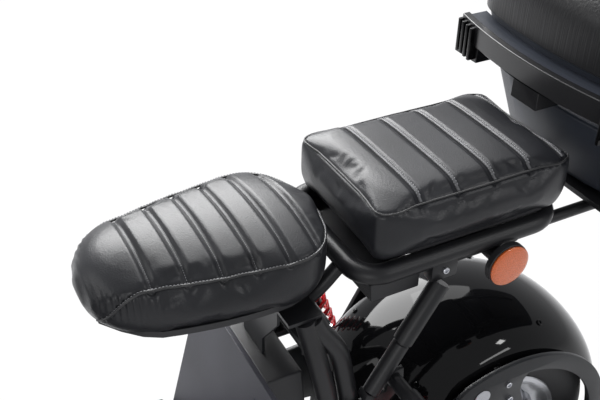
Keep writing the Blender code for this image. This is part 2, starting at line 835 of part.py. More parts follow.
def saddle_base():
    board = seat_board(SADDLE_NOSE, SADDLE_REAR, saddle_width, SADDLE_BOARD_Z, SADDLE_BASE_T, 0.84)
    hinge = side_point(SADDLE_HINGE)
    slots = [
        block((0.0060, 0.023, 0.04), hinge + side * EAR_X * X_AXIS) for side in (-1, 1)
    ]
    knuckle = rod(hinge - 0.021 * X_AXIS, hinge + 0.021 * X_AXIS, 0.0045, sides=16)
    hole = rod(hinge - 0.03 * X_AXIS, hinge + 0.03 * X_AXIS, HINGE_PIN_R + GAP, sides=12)
    return cut(fused(cut(board, *slots), knuckle), hole)


piece("saddle_base", saddle_base(), BLACK_PLASTIC, "saddle", smooth=False)
piece("saddle_cushion", cushion(
    SADDLE_NOSE, SADDLE_REAR, saddle_width, SADDLE_BOARD_Z + SADDLE_BASE_T + GAP,
    SADDLE_CUSHION_T, SADDLE_CROWN, SADDLE_CHANNEL_RULE), BLACK_LEATHER, "saddle")


# Wheels

def tyre(axle):
    """A wide tyre: a flat tread, rounded shoulders and a bead on each side."""
    side = [
        (TREAD_HALF, TYRE_R), (TYRE_HALF - 0.010, TYRE_R - 0.012), (TYRE_HALF, TYRE_R - 0.038),
        (TYRE_HALF - 0.004, BEAD_R + 0.014), (RIM_HALF, BEAD_R), (RIM_HALF - 0.012, BEAD_R - 0.010),
        (TREAD_HALF, BEAD_R + 0.002),
    ]
    profile = [*side, *[(-along, radius) for along, radius in reversed(side)]]
    frame = across(axle) @ Matrix.Rotation(math.pi / TYRE_SEGMENTS + math.pi / 2, 4, "Z")
    return turned(profile, frame, TYRE_SEGMENTS, closed=True)


def rim(axle):
    """The wheel: a barrel between the beads, one dished web, and a bored hub."""
    barrel_in = 0.112
    profile = [
        (RIM_HALF - 0.0125, BEAD_R - 0.0115), (RIM_HALF - 0.0005, BEAD_R - 0.002),
        (RIM_HALF + 0.004, BEAD_R + 0.002), (RIM_HALF + 0.004, BEAD_R - 0.008),
        (RIM_HALF - 0.006, barrel_in), (0.046, barrel_in - 0.006), (0.040, 0.046), (HUB_HALF, 0.040),
        (HUB_HALF, AXLE_R + GAP),
    ]
    other = [(-along, radius) for along, radius in reversed(profile)]
    shape = turned([*profile, *other], across(axle), 20, closed=True)
    windows = []
    for index in range(5):
        turn = Matrix.Rotation(math.tau * (index + 0.23) / 5, 4, "X")
        window = rod(Vector((-0.13, 0, 0)), Vector((0.13, 0, 0)), 0.021, sides=8)
        window.matrix_world = Matrix.Translation(axle) @ turn @ Matrix.Translation((0, 0, 0.079))
        windows.append(baked(window))
    return cut(shape, *windows)


body("steering", STEER_FOOT, "scooter")
body("fork_travel", STEER_FOOT, "steering")
body("front_wheel", FRONT_AXLE, "fork_travel")
body("swing_arm", side_point(PIVOT), "scooter")
body("rear_wheel", REAR_AXLE, "swing_arm")
piece("rear_tyre", tyre(REAR_AXLE), TYRE_RUBBER, "rear_wheel")
piece("rear_rim", rim(REAR_AXLE), SILVER, "rear_wheel")
piece("front_tyre", tyre(FRONT_AXLE), TYRE_RUBBER, "front_wheel")
piece("front_rim", rim(FRONT_AXLE), SILVER, "front_wheel")


# Swing arm: two plates with an arch over the wheel, joined by a shaft, and the axle between them

def arm_outline():
    """The plate runs from the pivot to the axle and carries a closed arch behind the shock's eye."""
    outer = arc((0, AXLE_Z), ARCH_R, -12, 114, 12)
    nose = arc(PIVOT, PIVOT_BOSS_R, 78, 262, 8)
    below = [(-0.200, 0.196), (-0.080, 0.176), (0.060, 0.174), (0.150, 0.176)]
    over_arm = [(-0.128, 0.345), (-0.165, 0.326), (-0.250, 0.321)]
    return [*outer, *over_arm, *nose, *below]


def arm_window():
    """The window lies between the arch and the boss round the axle, behind the arm's solid front."""
    under_arch = arc((0, AXLE_Z), ARCH_INNER_R, 14, 81, 8)
    front = [(0.020, 0.372), (0.036, 0.325)]
    over_boss = arc((0, AXLE_Z), ARM_BOSS_R, 62, 10, 5)
    return [*under_arch, *front, *over_boss]


def swing_plate(side):
    x_low, x_high = sorted((side * ARM_X, side * (ARM_X + ARM_T)))
    plate = side_plate([arm_outline(), arm_window()], x_low, x_high)
    inside, outside = side * (ARM_X - 0.012), side * (ARM_X + 0.028)
    pin_root = side_point(SHOCK_LOW, side * (ARM_X + 0.002))
    lower_pin = rod(pin_root, side_point(SHOCK_LOW, side * (SHOCK_X + EYE_HALF + 0.003)), PIN_R)
    collar = rod(pin_root, side_point(SHOCK_LOW, side * (SHOCK_X - EYE_HALF - GAP)), 0.010)
    pivot_hole = rod(side_point(PIVOT, inside), side_point(PIVOT, outside), PIVOT_SHAFT_R + GAP, sides=16)
    axle_hole = rod(REAR_AXLE + inside * X_AXIS, REAR_AXLE + outside * X_AXIS, AXLE_R + GAP, sides=20)
    return cut(fused(plate, lower_pin, collar), pivot_hole, axle_hole)


def headed_shaft(centre, radius, half_length, head_radius, head):
    """A shaft along X with a head at each end."""
    profile = [
        (half_length + head, 0), (half_length + head, head_radius), (half_length, head_radius),
        (half_length, radius), (-half_length, radius), (-half_length, head_radius),
        (-half_length - head, head_radius), (-half_length - head, 0),
    ]
    return turned(profile, across(centre), 14)


ARM_OUTSIDE = ARM_X + ARM_T + GAP
piece("swing_plate_left", swing_plate(1), GREY_PAINT, "swing_arm", smooth=False)
piece("swing_plate_right", swing_plate(-1), GREY_PAINT, "swing_arm", smooth=False)
pivot_shaft = headed_shaft(side_point(PIVOT), PIVOT_SHAFT_R, ARM_OUTSIDE, 0.017, 0.010)
piece("pivot_shaft", pivot_shaft, STEEL, "swing_arm")
piece("rear_axle", headed_shaft(REAR_AXLE, AXLE_R, ARM_OUTSIDE, 0.016, 0.012), STEEL, "swing_arm")


# Rear fender: a full gloss shell that rides on the swing arm

def fender_section():
    """Half of the fender's section as (along, radius) points, over the crown and down the side."""
    points = []
    for index in range(6):
        part = index / 5
        along = FENDER_HALF * math.sin(part * math.pi / 2)
        points.append((along, FENDER_R - FENDER_DROP * (1 - math.cos(part * math.pi / 2))))
    return points


def fender(centre, start, end, steps=14):
    """A shell swept round the wheel between two angles, measured up from straight behind."""
    upper = fender_section()
    lower = [(along * (1 - FENDER_T / FENDER_HALF), radius - FENDER_T) for along, radius in upper]
    loop = [*upper, *reversed(lower)]
    loop += [(-along, radius) for along, radius in [*lower[1:], *reversed(upper[1:])]]
    shell = bmesh.new()
    rings = []
    for step in range(steps + 1):
        angle = math.radians(start + (end - start) * step / steps)
        rings.append([
            shell.verts.new(centre + Vector((along, radius * math.cos(angle), radius * math.sin(angle))))
            for along, radius in loop
        ])
    for near, far in zip(rings, rings[1:]):
        for i in range(len(loop)):
            j = (i + 1) % len(loop)
            shell.faces.new((near[i], near[j], far[j], far[i]))
    ends = [shell.faces.new(rings[0]), shell.faces.new(rings[-1])]
    bmesh.ops.triangulate(shell, faces=ends)
    return from_bmesh(shell)


def fender_tab(centre, angle, side, reach):
    """The bracket on the fender's flank that bolts to what lies at x = reach."""
    turn = Matrix.Rotation(math.radians(angle), 4, "X")
    inner = FENDER_HALF - 0.0035
    out = turn @ Vector((0, FENDER_R - FENDER_DROP + 0.006, 0))
    place = centre + out + Vector((side * (inner + reach) / 2, 0, 0))
    return block((reach - inner, 0.016, 0.026), place, turn)


FENDER_CENTRE = REAR_AXLE + Vector((0, *FENDER_SHIFT))
rear_tabs = [
    fender_tab(FENDER_CENTRE, angle, side, ARM_X - GAP) for angle in (52, 98) for side in (-1, 1)
]
rear_fender = fused(fender(FENDER_CENTRE, 8, 158), *rear_tabs)
piece("rear_fender", rear_fender, GLOSS_BLACK, "swing_arm")

# Shock absorbers: each tilts on its top pin, and its rod slides into its body
SHOCK_WAY = Vector((0, SHOCK_LOW[0] - SHOCK_TOP[0], SHOCK_LOW[1] - SHOCK_TOP[1]))
SHOCK_LENGTH = SHOCK_WAY.length
SHOCK_DOWN = SHOCK_WAY.normalized()
SPRING_TOP = 0.036
SPRING_LOW = SHOCK_LENGTH - 0.030
COLLAR_T = 0.006


def shock_frame(side, distance=0.0):
    top = side_point(SHOCK_TOP, side * SHOCK_X)
    return Matrix.Translation(top + distance * SHOCK_DOWN) @ turned_to(SHOCK_DOWN)


def shock_eye(side, distance):
    centre = side_point(SHOCK_TOP, side * SHOCK_X) + distance * SHOCK_DOWN
    ring = [(EYE_HALF, PIN_R + GAP), (EYE_HALF, EYE_R), (-EYE_HALF, EYE_R), (-EYE_HALF, PIN_R + GAP)]
    return turned(ring, across(centre), 12, closed=True)


def shock_body(side):
    """The upper eye, its collar and the hollow cylinder that takes the rod."""
    profile = [
        (0.011, 0), (0.011, 0.010), (SPRING_TOP - COLLAR_T, 0.012), (SPRING_TOP - COLLAR_T, SPRING_SEAT_R),
        (SPRING_TOP - GAP, SPRING_SEAT_R), (SPRING_TOP - GAP, 0.0120), (0.118, 0.0120), (0.118, 0.0065),
        (0.046, 0.0065), (0.046, 0),
    ]
    return fused(turned(profile, shock_frame(side), 14), shock_eye(side, 0))


def shock_rod(side):
    """The lower eye, its collar and the chromed rod."""
    profile = [
        (0.078, 0), (0.078, 0.0060), (SPRING_LOW + GAP, 0.0060), (SPRING_LOW + GAP, SPRING_SEAT_R),
        (SPRING_LOW + COLLAR_T, SPRING_SEAT_R), (SPRING_LOW + COLLAR_T, 0.011),
        (SHOCK_LENGTH - 0.011, 0.010), (SHOCK_LENGTH - 0.011, 0),
    ]
    return fused(turned(profile, shock_frame(side), 14), shock_eye(side, SHOCK_LENGTH))


def spring_route(side):
    """One unbroken coil with closed-up ends, then a straight run of one wire diameter."""
    frame = shock_frame(side)
    low, high = SPRING_TOP + SPRING_WIRE_R + GAP / 2, SPRING_LOW - SPRING_WIRE_R - GAP / 2
    per_turn = 8
    count = SPRING_TURNS * per_turn
    points = []
    for index in range(count + 1):
        turn = math.tau * index / per_turn
        points.append(frame @ Vector((
            SPRING_R * math.cos(turn), SPRING_R * math.sin(turn), low + (high - low) * index / count)))
    first_way = level(points[0] - points[1])
    last_way = level(points[-1] - points[-2])
    return [points[0] + 2 * SPRING_WIRE_R * first_way, *points, points[-1] + 2 * SPRING_WIRE_R * last_way]


def level(way):
    """The way's direction across the shock absorber's axis."""
    return (way - way.dot(SHOCK_DOWN) * SHOCK_DOWN).normalized()


def least_gap(route, radius, apart=5):
    """The least clearance between stretches of a tube that are not neighbours along it."""
    near = min(
        (route[i] - route[j]).length for i in range(len(route)) for j in range(i + apart, len(route))
    )
    return near - 2 * radius


for side, word in ((1, "left"), (-1, "right")):
    top_place = side_point(SHOCK_TOP, side * SHOCK_X)
    body(f"shock_{word}", top_place, "scooter")
    body(f"shock_slide_{word}", top_place, f"shock_{word}")
    piece(f"shock_body_{word}", shock_body(side), BLACK_PAINT, f"shock_{word}")
    piece(f"shock_rod_{word}", shock_rod(side), CHROME, f"shock_slide_{word}")
    route = spring_route(side)
    print(f"spring_{word}: least gap to itself {least_gap(route, SPRING_WIRE_R) * 1000:.2f} mm")
    piece(f"spring_{word}", pipe(route, SPRING_WIRE_R, 1), RED_PAINT, f"shock_{word}")


# Fork: crowns and tubes turn with the steering, the sliders carry the wheel and slide on the tubes

def crown(low):
    """A crown plate across the steering axis that clamps both fork tubes; its Y runs aft."""
    frame = Matrix.Translation(on_steer(low + CROWN_T / 2)) @ turned_to(UP)
    legs = -FORK_OFFSET
    outline = [
        (-LEG_X - 0.026, legs - 0.020), (-LEG_X - 0.026, legs + 0.020), (-LEG_X + 0.026, legs + 0.024),
        (-0.040, 0.026), (0.040, 0.026),
        (LEG_X - 0.026, legs + 0.024), (LEG_X + 0.026, legs + 0.020), (LEG_X + 0.026, legs - 0.020),
        (LEG_X - 0.026, legs - 0.024), (0.040, -0.034),
        (-0.040, -0.034), (-LEG_X + 0.026, legs - 0.024),
    ]
    return flat_plate([outline], CROWN_T, frame)


def leg_holes(low):
    """The bores through a crown for the fork tubes."""
    return [
        rod(on_steer(low - 0.03, FORK_OFFSET, x), on_steer(low + 0.06, FORK_OFFSET, x),
            STANCHION_R + GAP, sides=20)
        for x in (-LEG_X, LEG_X)
    ]


def fork_yoke():
    """The lower crown with the stem that turns in the head tube."""
    stem = rod(on_steer(CROWN_LOW + 0.002), on_steer(CROWN_HIGH + 0.040), STEM_R, sides=24)
    race = rod(on_steer(CROWN_LOW + 0.002), on_steer(HEAD_LOW - GAP), HEAD_R - 0.003, sides=24)
    return cut(fused(crown(CROWN_LOW), stem, race), *leg_holes(CROWN_LOW))


CLAMP_AHEAD = 0.012
CLAMP_UP = CROWN_HIGH + CROWN_T + 0.050


def bar_centre():
    return on_steer(CLAMP_UP, CLAMP_AHEAD)


def top_crown():
    """The upper crown with the two clamps of the handlebar."""
    bar = bar_centre()
    foot = CROWN_HIGH + CROWN_T + 0.020
    cap = rod(on_steer(CROWN_HIGH + 0.002), on_steer(CROWN_HIGH + 0.048), STEM_R + 0.008, sides=24)
    risers = [
        fused(block((0.026, 0.030, 0.050), on_steer(foot, CLAMP_AHEAD, x), turned_to(UP)),
              rod(bar + (x - 0.0130) * X_AXIS, bar + (x + 0.0130) * X_AXIS, 0.021, sides=20))
        for x in (-0.060, 0.060)
    ]
    stem_bore = rod(on_steer(CROWN_HIGH - 0.01), on_steer(CROWN_HIGH + 0.0403), STEM_R + GAP, sides=24)
    bar_bore = rod(bar - 0.1 * X_AXIS, bar + 0.1 * X_AXIS, BAR_R + 0.0008, sides=14)
    return cut(fused(crown(CROWN_HIGH), cap, *risers), *leg_holes(CROWN_HIGH), stem_bore, bar_bore)


def stanchion(side):
    return rod(on_steer(STANCHION_LOW, FORK_OFFSET, side * LEG_X),
               on_steer(CROWN_HIGH + CROWN_T + 0.004, FORK_OFFSET, side * LEG_X), STANCHION_R, sides=24)


def slider(side):
    """The lower leg: a tube round the stanchion, closed below, with the axle's lug."""
    frame = Matrix.Translation(on_steer(0, FORK_OFFSET, side * LEG_X)) @ turned_to(UP)
    profile = [
        (SLIDER_TOP, STANCHION_R + GAP), (SLIDER_TOP, SLIDER_R + 0.002),
        (SLIDER_TOP - 0.014, SLIDER_R + 0.002), (SLIDER_TOP - 0.016, SLIDER_R - 0.001),
        (0.030, SLIDER_R - 0.001), (0.016, SLIDER_R), (-0.030, SLIDER_R), (-0.036, SLIDER_R - 0.006),
        (-0.036, 0), (0.034, 0), (0.034, STANCHION_R + GAP),
    ]
    axle = FRONT_AXLE + side * LEG_X * X_AXIS
    bore = rod(axle - 0.04 * X_AXIS, axle + 0.04 * X_AXIS, AXLE_R + GAP, sides=20)
    return cut(turned(profile, frame, 20, closed=True), bore)


FRONT_OUTSIDE = LEG_X + SLIDER_R + 0.001
piece("fork_yoke", fork_yoke(), BLACK_PAINT, "steering")
piece("top_crown", top_crown(), BLACK_PAINT, "steering")
for side, word in ((1, "left"), (-1, "right")):
    piece(f"stanchion_{word}", stanchion(side), CHROME, "steering")
    piece(f"slider_{word}", slider(side), BLACK_PAINT, "fork_travel")
front_axle = headed_shaft(FRONT_AXLE, AXLE_R, FRONT_OUTSIDE, 0.014, 0.008)
piece("front_axle", front_axle, STEEL, "fork_travel")


# Handlebar and its fittings
GRIP_WAY = Vector((0.867, 0.489, -0.098)).normalized()
BAR_END = bar_centre() + Vector((BAR_HALF, BAR_SWEEP, BAR_RISE))
GRIP_RUN = 0.235


def bar_half():
    """The bar's left half: level in the clamps, up through a bend, then straight to its end."""
    centre = bar_centre()
    bend = [
        centre + Vector(step) for step in (
            (0.0, 0, 0), (0.076, 0, 0), (0.088, 0, 0.001), (0.104, 0.001, 0.022), (0.117, 0.004, 0.075),
            (0.130, 0.008, 0.140), (0.142, 0.012, 0.185),
        )
    ]
    return [*bend, *[BAR_END - back * GRIP_WAY for back in (GRIP_RUN, GRIP_RUN - 0.015, 0.100, 0)]]


def handlebar():
    half = smooth_route(bar_half(), 2)
    route = [*[Vector((-p.x, p.y, p.z)) for p in reversed(half[1:])], *half]
    return pipe(route, BAR_R, 3)


def on_grip(back):
    """A point of the left grip's axis, measured in from the bar's end."""
    return BAR_END - back * GRIP_WAY


def grip(cut_back):
    profile = [
        (0.006, 0), (0.006, 0.016), (0.002, GRIP_R + 0.002), (-0.004, GRIP_R), (-cut_back + 0.008, GRIP_R),
        (-cut_back + 0.006, GRIP_R + 0.004), (-cut_back, GRIP_R + 0.004), (-cut_back, BAR_R + 0.0012),
        (GAP, BAR_R + 0.0012), (GAP, 0),
    ]
    return turned(profile, Matrix.Translation(BAR_END) @ turned_to(GRIP_WAY), 16)


piece("handlebar", handlebar(), BLACK_PAINT, "steering")
piece("left_grip", grip(GRIP_LENGTH), RUBBER, "steering")
body("throttle", (-BAR_END.x, BAR_END.y, BAR_END.z), "steering")
throttle_shape = grip(GRIP_LENGTH)
piece("throttle_grip", replaced(throttle_shape, mirrored(throttle_shape)), RUBBER, "throttle")

PERCH_BACK = GRIP_LENGTH + 0.024
PERCH_HALF = 0.012
LEVER_AHEAD = 0.050
POD_BACK = PERCH_BACK + 0.036
GRIP_UP = (Vector((0, 0, 1)) - GRIP_WAY.z * GRIP_WAY).normalized()
GRIP_AHEAD = GRIP_WAY.cross(GRIP_UP).normalized()


def grip_place(back, ahead=0.0, up=0.0):
    return on_grip(back) + ahead * GRIP_AHEAD + up * GRIP_UP


def grip_turn():
    """The rotation of a box that lies along the left grip: X along it, Y aft, Z up."""
    return Matrix((GRIP_WAY, -GRIP_AHEAD, GRIP_UP)).transposed().to_4x4()


LEVER_PIN = grip_place(PERCH_BACK, LEVER_AHEAD - 0.006)
LEVER_PIN_R = 0.0025
BUTTON_R = 0.0057
BUTTON_AHEAD = -0.006
POCKET_FLOOR = 0.0150


def brake_perch():
    """The clamp on the bar: the fork that holds the lever's pin, and the switch housing."""
    start, end = PERCH_BACK - PERCH_HALF, PERCH_BACK + PERCH_HALF
    clamp = rod(grip_place(start), grip_place(end), BAR_R + 0.006, sides=18)
    arms = [
        block((0.020, LEVER_AHEAD, 0.004), grip_place(PERCH_BACK, 0.006 + LEVER_AHEAD / 2, side * 0.0075),
              grip_turn())
        for side in (-1, 1)
    ]
    pin = rod(LEVER_PIN - 0.0105 * GRIP_UP, LEVER_PIN + 0.0105 * GRIP_UP, LEVER_PIN_R, sides=12)
    pod = block((0.034, 0.040, 0.036), grip_place(POD_BACK), grip_turn())
    neck = rod(grip_place(PERCH_BACK), grip_place(POD_BACK), BAR_R + 0.004, sides=18)
    bore = rod(grip_place(PERCH_BACK - 0.03), grip_place(POD_BACK + 0.03), BAR_R + 0.0008, sides=14)
    pocket = rod(grip_place(POD_BACK, BUTTON_AHEAD, POCKET_FLOOR), grip_place(POD_BACK, BUTTON_AHEAD, 0.03),
                 BUTTON_R + GAP, sides=14)
    return cut(fused(clamp, *arms, pin, neck, pod), bore, pocket)


def brake_lever():
    """A flat blade that curves along the grip, bored at its pin."""
    frame = Matrix.Translation(LEVER_PIN) @ grip_turn()
    reach = GRIP_LENGTH - 0.002
    outline = [
        (-0.009, 0.004), (-0.005, -0.009), (0.012, -0.010), (0.050, -0.020), (reach, -0.014),
        (reach + 0.008, -0.008), (reach, -0.003), (0.050, -0.009), (0.014, 0.003), (0.004, 0.008),
    ]
    blade = flat_plate([outline], 0.009, frame)
    bore = rod(LEVER_PIN - 0.02 * GRIP_UP, LEVER_PIN + 0.02 * GRIP_UP, LEVER_PIN_R + GAP, sides=12)
    return cut(blade, bore)


def pod_button():
    return rod(grip_place(POD_BACK, BUTTON_AHEAD, POCKET_FLOOR + GAP + 0.0012),
               grip_place(POD_BACK, BUTTON_AHEAD, 0.0205), BUTTON_R, sides=14)


BUTTON_PLACE = grip_place(POD_BACK, BUTTON_AHEAD, 0.018)
HANDS = ((1, "left", "horn_button"), (-1, "right", "light_button"))
for side, word, button in HANDS:
    press = button.replace("button", "press")
    lever_place = Vector((side * LEVER_PIN.x, LEVER_PIN.y, LEVER_PIN.z))
    button_place = Vector((side * BUTTON_PLACE.x, BUTTON_PLACE.y, BUTTON_PLACE.z))
    body(f"brake_{word}", lever_place, "steering")
    body(press, button_place, "steering")
    made = [
        (f"brake_perch_{word}", brake_perch(), BLACK_PAINT, "steering"),
        (f"brake_lever_{word}", brake_lever(), BLACK_PAINT, f"brake_{word}"),
        (button, pod_button(), RED_PAINT if side > 0 else CLEAR_LENS, press),
    ]
    for name, shape, finish, holder in made:
        piece(name, shape if side > 0 else replaced(shape, mirrored(shape)), finish, holder)


# Front fender, brake disc and lights
front_tabs = [
    fender_tab(FRONT_AXLE, 90 - math.degrees(RAKE), side, LEG_X - SLIDER_R + 0.001 - GAP)
    for side in (-1, 1)
]
front_fender = fused(fender(FRONT_AXLE, 28, 148, steps=11), *front_tabs)
piece("front_fender", front_fender, GLOSS_BLACK, "fork_travel")


def brake_disc():
    """The disc and the sleeve that seats it on the wheel's hub."""
    seat = HUB_HALF + GAP - DISC_X
    ring = [
        (DISC_T / 2, DISC_BORE_R), (DISC_T / 2, DISC_R), (-DISC_T / 2, DISC_R), (-DISC_T / 2, 0.026),
        (seat, 0.026), (seat, DISC_BORE_R),
    ]
    return turned(ring, across(FRONT_AXLE + DISC_X * X_AXIS), 24, closed=True)


def lamp(centre, way, radius, depth):
    """A round lamp: the housing's closed back, and a rim that the lens sits in."""
    frame = Matrix.Translation(centre) @ turned_to(way)
    shell = turned([
        (depth * 0.55, 0), (depth * 0.55, radius - 0.004), (depth, radius - 0.004), (depth, radius),
        (depth * 0.35, radius), (depth * 0.05, radius * 0.55), (0, 0),
    ], frame, 20)
    lens = turned([
        (depth + 0.003, 0), (depth + 0.001, radius * 0.6), (depth - 0.003, radius - 0.0045),
        (depth * 0.55 + GAP, radius - 0.0045), (depth * 0.55 + GAP, 0),
    ], frame, 20)
    return shell, lens


HEADLIGHT = on_steer(0.520, 0.075)
STAY_Y = HEADLIGHT.y - 0.029
EAR_INSIDE = LEG_X - STANCHION_R
shell, lens = lamp(HEADLIGHT, Vector((0, -1, 0)), LAMP_R, LAMP_DEPTH)
arms = [
    rod(Vector((side * 0.070, STAY_Y, HEADLIGHT.z)),
        Vector((side * (EAR_INSIDE - 0.0030), STAY_Y, HEADLIGHT.z)), 0.007, sides=10)
    for side in (-1, 1)
]
clamps = [
    cut(rod(on_steer(0.500, FORK_OFFSET, x), on_steer(0.540, FORK_OFFSET, x), STANCHION_R + 0.005, sides=16),
        rod(on_steer(0.480, FORK_OFFSET, x), on_steer(0.560, FORK_OFFSET, x), STANCHION_R + GAP, sides=20))
    for x in (-LEG_X, LEG_X)
]
ears = [
    block((0.010, 0.080, 0.030),
          Vector((side * (EAR_INSIDE - 0.0050), HEADLIGHT.y - 0.005, HEADLIGHT.z - 0.006)))
    for side in (-1, 1)
]
piece("headlight_shell", fused(shell, *arms, *ears, *clamps), BLACK_PLASTIC, "steering")
piece("headlight_lens", lens, CLEAR_LENS, "steering")
piece("brake_disc", brake_disc(), STEEL, "front_wheel")


def reflector(side):
    place = side_point((-0.038, 0.6200), side * (0.076 + GAP))
    frame = Matrix.Translation(place) @ turned_to(side * X_AXIS, Vector((0, 1, 0)))
    profile = [(0.0560, 0), (0.0550, 0.026), (0.0510, 0.031), (0.0395, 0.031), (0.0395, 0.012),
               (0, 0.012), (0, 0)]
    return turned(profile, frame, 20)


for side, word in ((1, "left"), (-1, "right")):
    piece(f"side_reflector_{word}", reflector(side), AMBER, "scooter")


# Carrier and top box
CARRIER_Z = 0.6205
CARRIER_PAD = BOX_Z - GAP


def carrier():
    """Two tubes run back from the tail tray to a cross bar and the plate that the box bolts to."""
    tubes = [
        rod(side_point((0.0315 + GAP, CARRIER_Z), x), side_point((0.330, CARRIER_Z), x), 0.009, sides=12)
        for x in (-0.068, 0.068)
    ]
    plate = block((0.240, 0.230, 0.008), side_point((0.255, CARRIER_PAD - 0.004)))
    webs = [
        block((0.012, 0.200, 0.020), side_point((0.255, CARRIER_PAD - 0.012), x)) for x in (-0.068, 0.068)
    ]
    return fused(plate, *tubes, *webs)


def box_plan(inset):
    """The box in plan as (x, distance) points: rounded corners and a front that bows forward."""
    half = BOX_HALF - inset
    front, rear = BOX_FRONT + inset, BOX_REAR - inset
    corner = BOX_CORNER - min(inset, 0.040)
    points = []
    for cx, cy, start in ((half - corner, rear - corner, 0), (-half + corner, rear - corner, 90),
                          (-half + corner, front + corner, 180), (half - corner, front + corner, 270)):
        points += arc((cx, cy), corner, start, start + 90, 4)
    return [(x, y - BOX_BOW * (1 - (x / half)**2) if y < front + corner else y) for x, y in points]


def lofted(sections):
    """A closed solid through plans of equal count, each an (x, distance) outline at its height."""
    shell = bmesh.new()
    rings = [[shell.verts.new((x, aft(y), z)) for x, y in plan] for plan, z in sections]
    for near, far in zip(rings, rings[1:]):
        for i in range(len(near)):
            j = (i + 1) % len(near)
            shell.faces.new((near[i], near[j], far[j], far[i]))
    caps = [shell.faces.new(rings[0]), shell.faces.new(rings[-1])]
    bmesh.ops.triangulate(shell, faces=caps)
    return from_bmesh(shell)


def box_shell():
    floor = BOX_Z + BOX_WALL
    return lofted([
        (box_plan(BOX_TAPER + 0.045), BOX_Z), (box_plan(BOX_TAPER + 0.020), BOX_Z + 0.012),
        (box_plan(0.004), BOX_RIM_Z), (box_plan(BOX_WALL + 0.004), BOX_RIM_Z),
        (box_plan(BOX_TAPER + 0.020 + BOX_WALL), BOX_Z + 0.016),
        (box_plan(BOX_TAPER + 0.045 + BOX_WALL), floor),
    ])


def box_lid():
    low = BOX_RIM_Z + GAP
    return lofted([
        (box_plan(0.065), BOX_TOP_Z), (box_plan(0.020), BOX_TOP_Z - 0.030), (box_plan(0.0), low + 0.065),
        (box_plan(0.0), low), (box_plan(BOX_WALL), low), (box_plan(BOX_WALL), low + 0.063),
        (box_plan(0.020 + BOX_WALL), BOX_TOP_Z - 0.034), (box_plan(0.065 + BOX_WALL), BOX_TOP_Z - BOX_WALL),
    ])


piece("carrier", carrier(), BLACK_PAINT, "scooter", smooth=False)
piece("box_shell", box_shell(), BOX_PLASTIC, "scooter")
body("lid", side_point((BOX_FRONT - 0.036, BOX_RIM_Z)), "scooter")
piece("box_lid", box_lid(), BLACK_PLASTIC, "lid")


def bowed_front(x):
    """The distance of the box's front at x, in the middle of its bow the furthest ahead."""
    return BOX_FRONT - BOX_BOW * (1 - (x / BOX_HALF)**2)


def box_handle():
    """The fixed carry band across the box's front, on a mount at each end and one in the middle."""
    reach = BOX_HALF - 0.030
    steps = 12
    outer, inner = [], []
    for index in range(steps + 1):
        x = -reach + 2 * reach * index / steps
        front = bowed_front(x)
        outer.append((x, front - 0.018 - HANDLE_T))
        inner.append((x, front - 0.018))
    low, high = HANDLE_Z - 0.026, HANDLE_Z + 0.006
    frame = Matrix.Translation((0, aft(0), (low + high) / 2))
    band = flat_plate([[*outer, *reversed(inner)]], high - low, frame)
    mounts = []
    for x in (-reach + 0.022, 0.0, reach - 0.022):
        place = side_point((bowed_front(x) - 0.0010, HANDLE_Z - 0.032), x)
        mounts.append(block((0.052, 0.056, 0.044), place))
    return cut(fused(band, *mounts), beside_box())


def beside_box():
    """The box's outside, grown by the gap that pieces fixed to it keep."""
    return lofted([
        (box_plan(BOX_TAPER + 0.020 - GAP), BOX_Z + 0.012), (box_plan(0.004 - GAP), BOX_RIM_Z),
        (box_plan(-GAP), BOX_RIM_Z), (box_plan(-GAP), BOX_TOP_Z),
    ])


def box_latch():
    """The lock plate at the rear of the shell."""
    plate = block((0.060, 0.050, 0.046), side_point((BOX_REAR - 0.017, BOX_RIM_Z - 0.026)))
    return cut(plate, beside_box())


piece("box_handle", box_handle(), BLACK_PLASTIC, "scooter", smooth=False)

# Side stand: it swings back and up on a pin under the left deck rail
STAND_X = 0.128
STAND_PIN_R = 0.005
STAND_PIVOT = (-0.520, DECK_RAIL_Z - 0.016)
STAND_FOOT = Vector((0.235, aft(-0.545), 0.0))
body("stand", side_point(STAND_PIVOT, STAND_X), "scooter")


def stand_bracket():
    """The lug under the deck rail with the stand's pin."""
    under_rail = DECK_RAIL_Z - RAIL_R
    top = block((0.040, 0.040, 0.006), side_point((STAND_PIVOT[0], under_rail - 0.0038), 0.100))
    plate = block((0.006, 0.040, 0.036), side_point((STAND_PIVOT[0], under_rail - 0.018), 0.117))
    pin_end = side_point(STAND_PIVOT, STAND_X + 0.010)
    pin = rod(side_point(STAND_PIVOT, 0.117), pin_end, STAND_PIN_R, sides=14)
    head = rod(side_point(STAND_PIVOT, STAND_X + 0.0065), pin_end, STAND_PIN_R + 0.002, sides=14)
    return fused(top, plate, pin, head)


def side_stand():
    pivot = side_point(STAND_PIVOT, STAND_X)
    boss = rod(pivot - 0.006 * X_AXIS, pivot + 0.006 * X_AXIS, 0.014, sides=16)
    leg_end = STAND_FOOT + Vector((-0.010, 0, 0.006))
    leg = rod(pivot + Vector((-0.0005, 0, -0.0115)), leg_end, 0.0060, sides=10)
    pad = block((0.044, 0.034, 0.008), STAND_FOOT + Vector((0, 0, 0.0045)))
    bore = rod(pivot - 0.02 * X_AXIS, pivot + 0.02 * X_AXIS, STAND_PIN_R + GAP, sides=14)
    return cut(fused(boss, leg, pad), bore)


piece("stand_bracket", stand_bracket(), BLACK_PAINT, "scooter", smooth=False)
piece("side_stand", side_stand(), BLACK_PAINT, "stand", smooth=False)
piece("box_latch", box_latch(), BLACK_PLASTIC, "scooter", smooth=False)
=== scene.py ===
# %% [markdown]
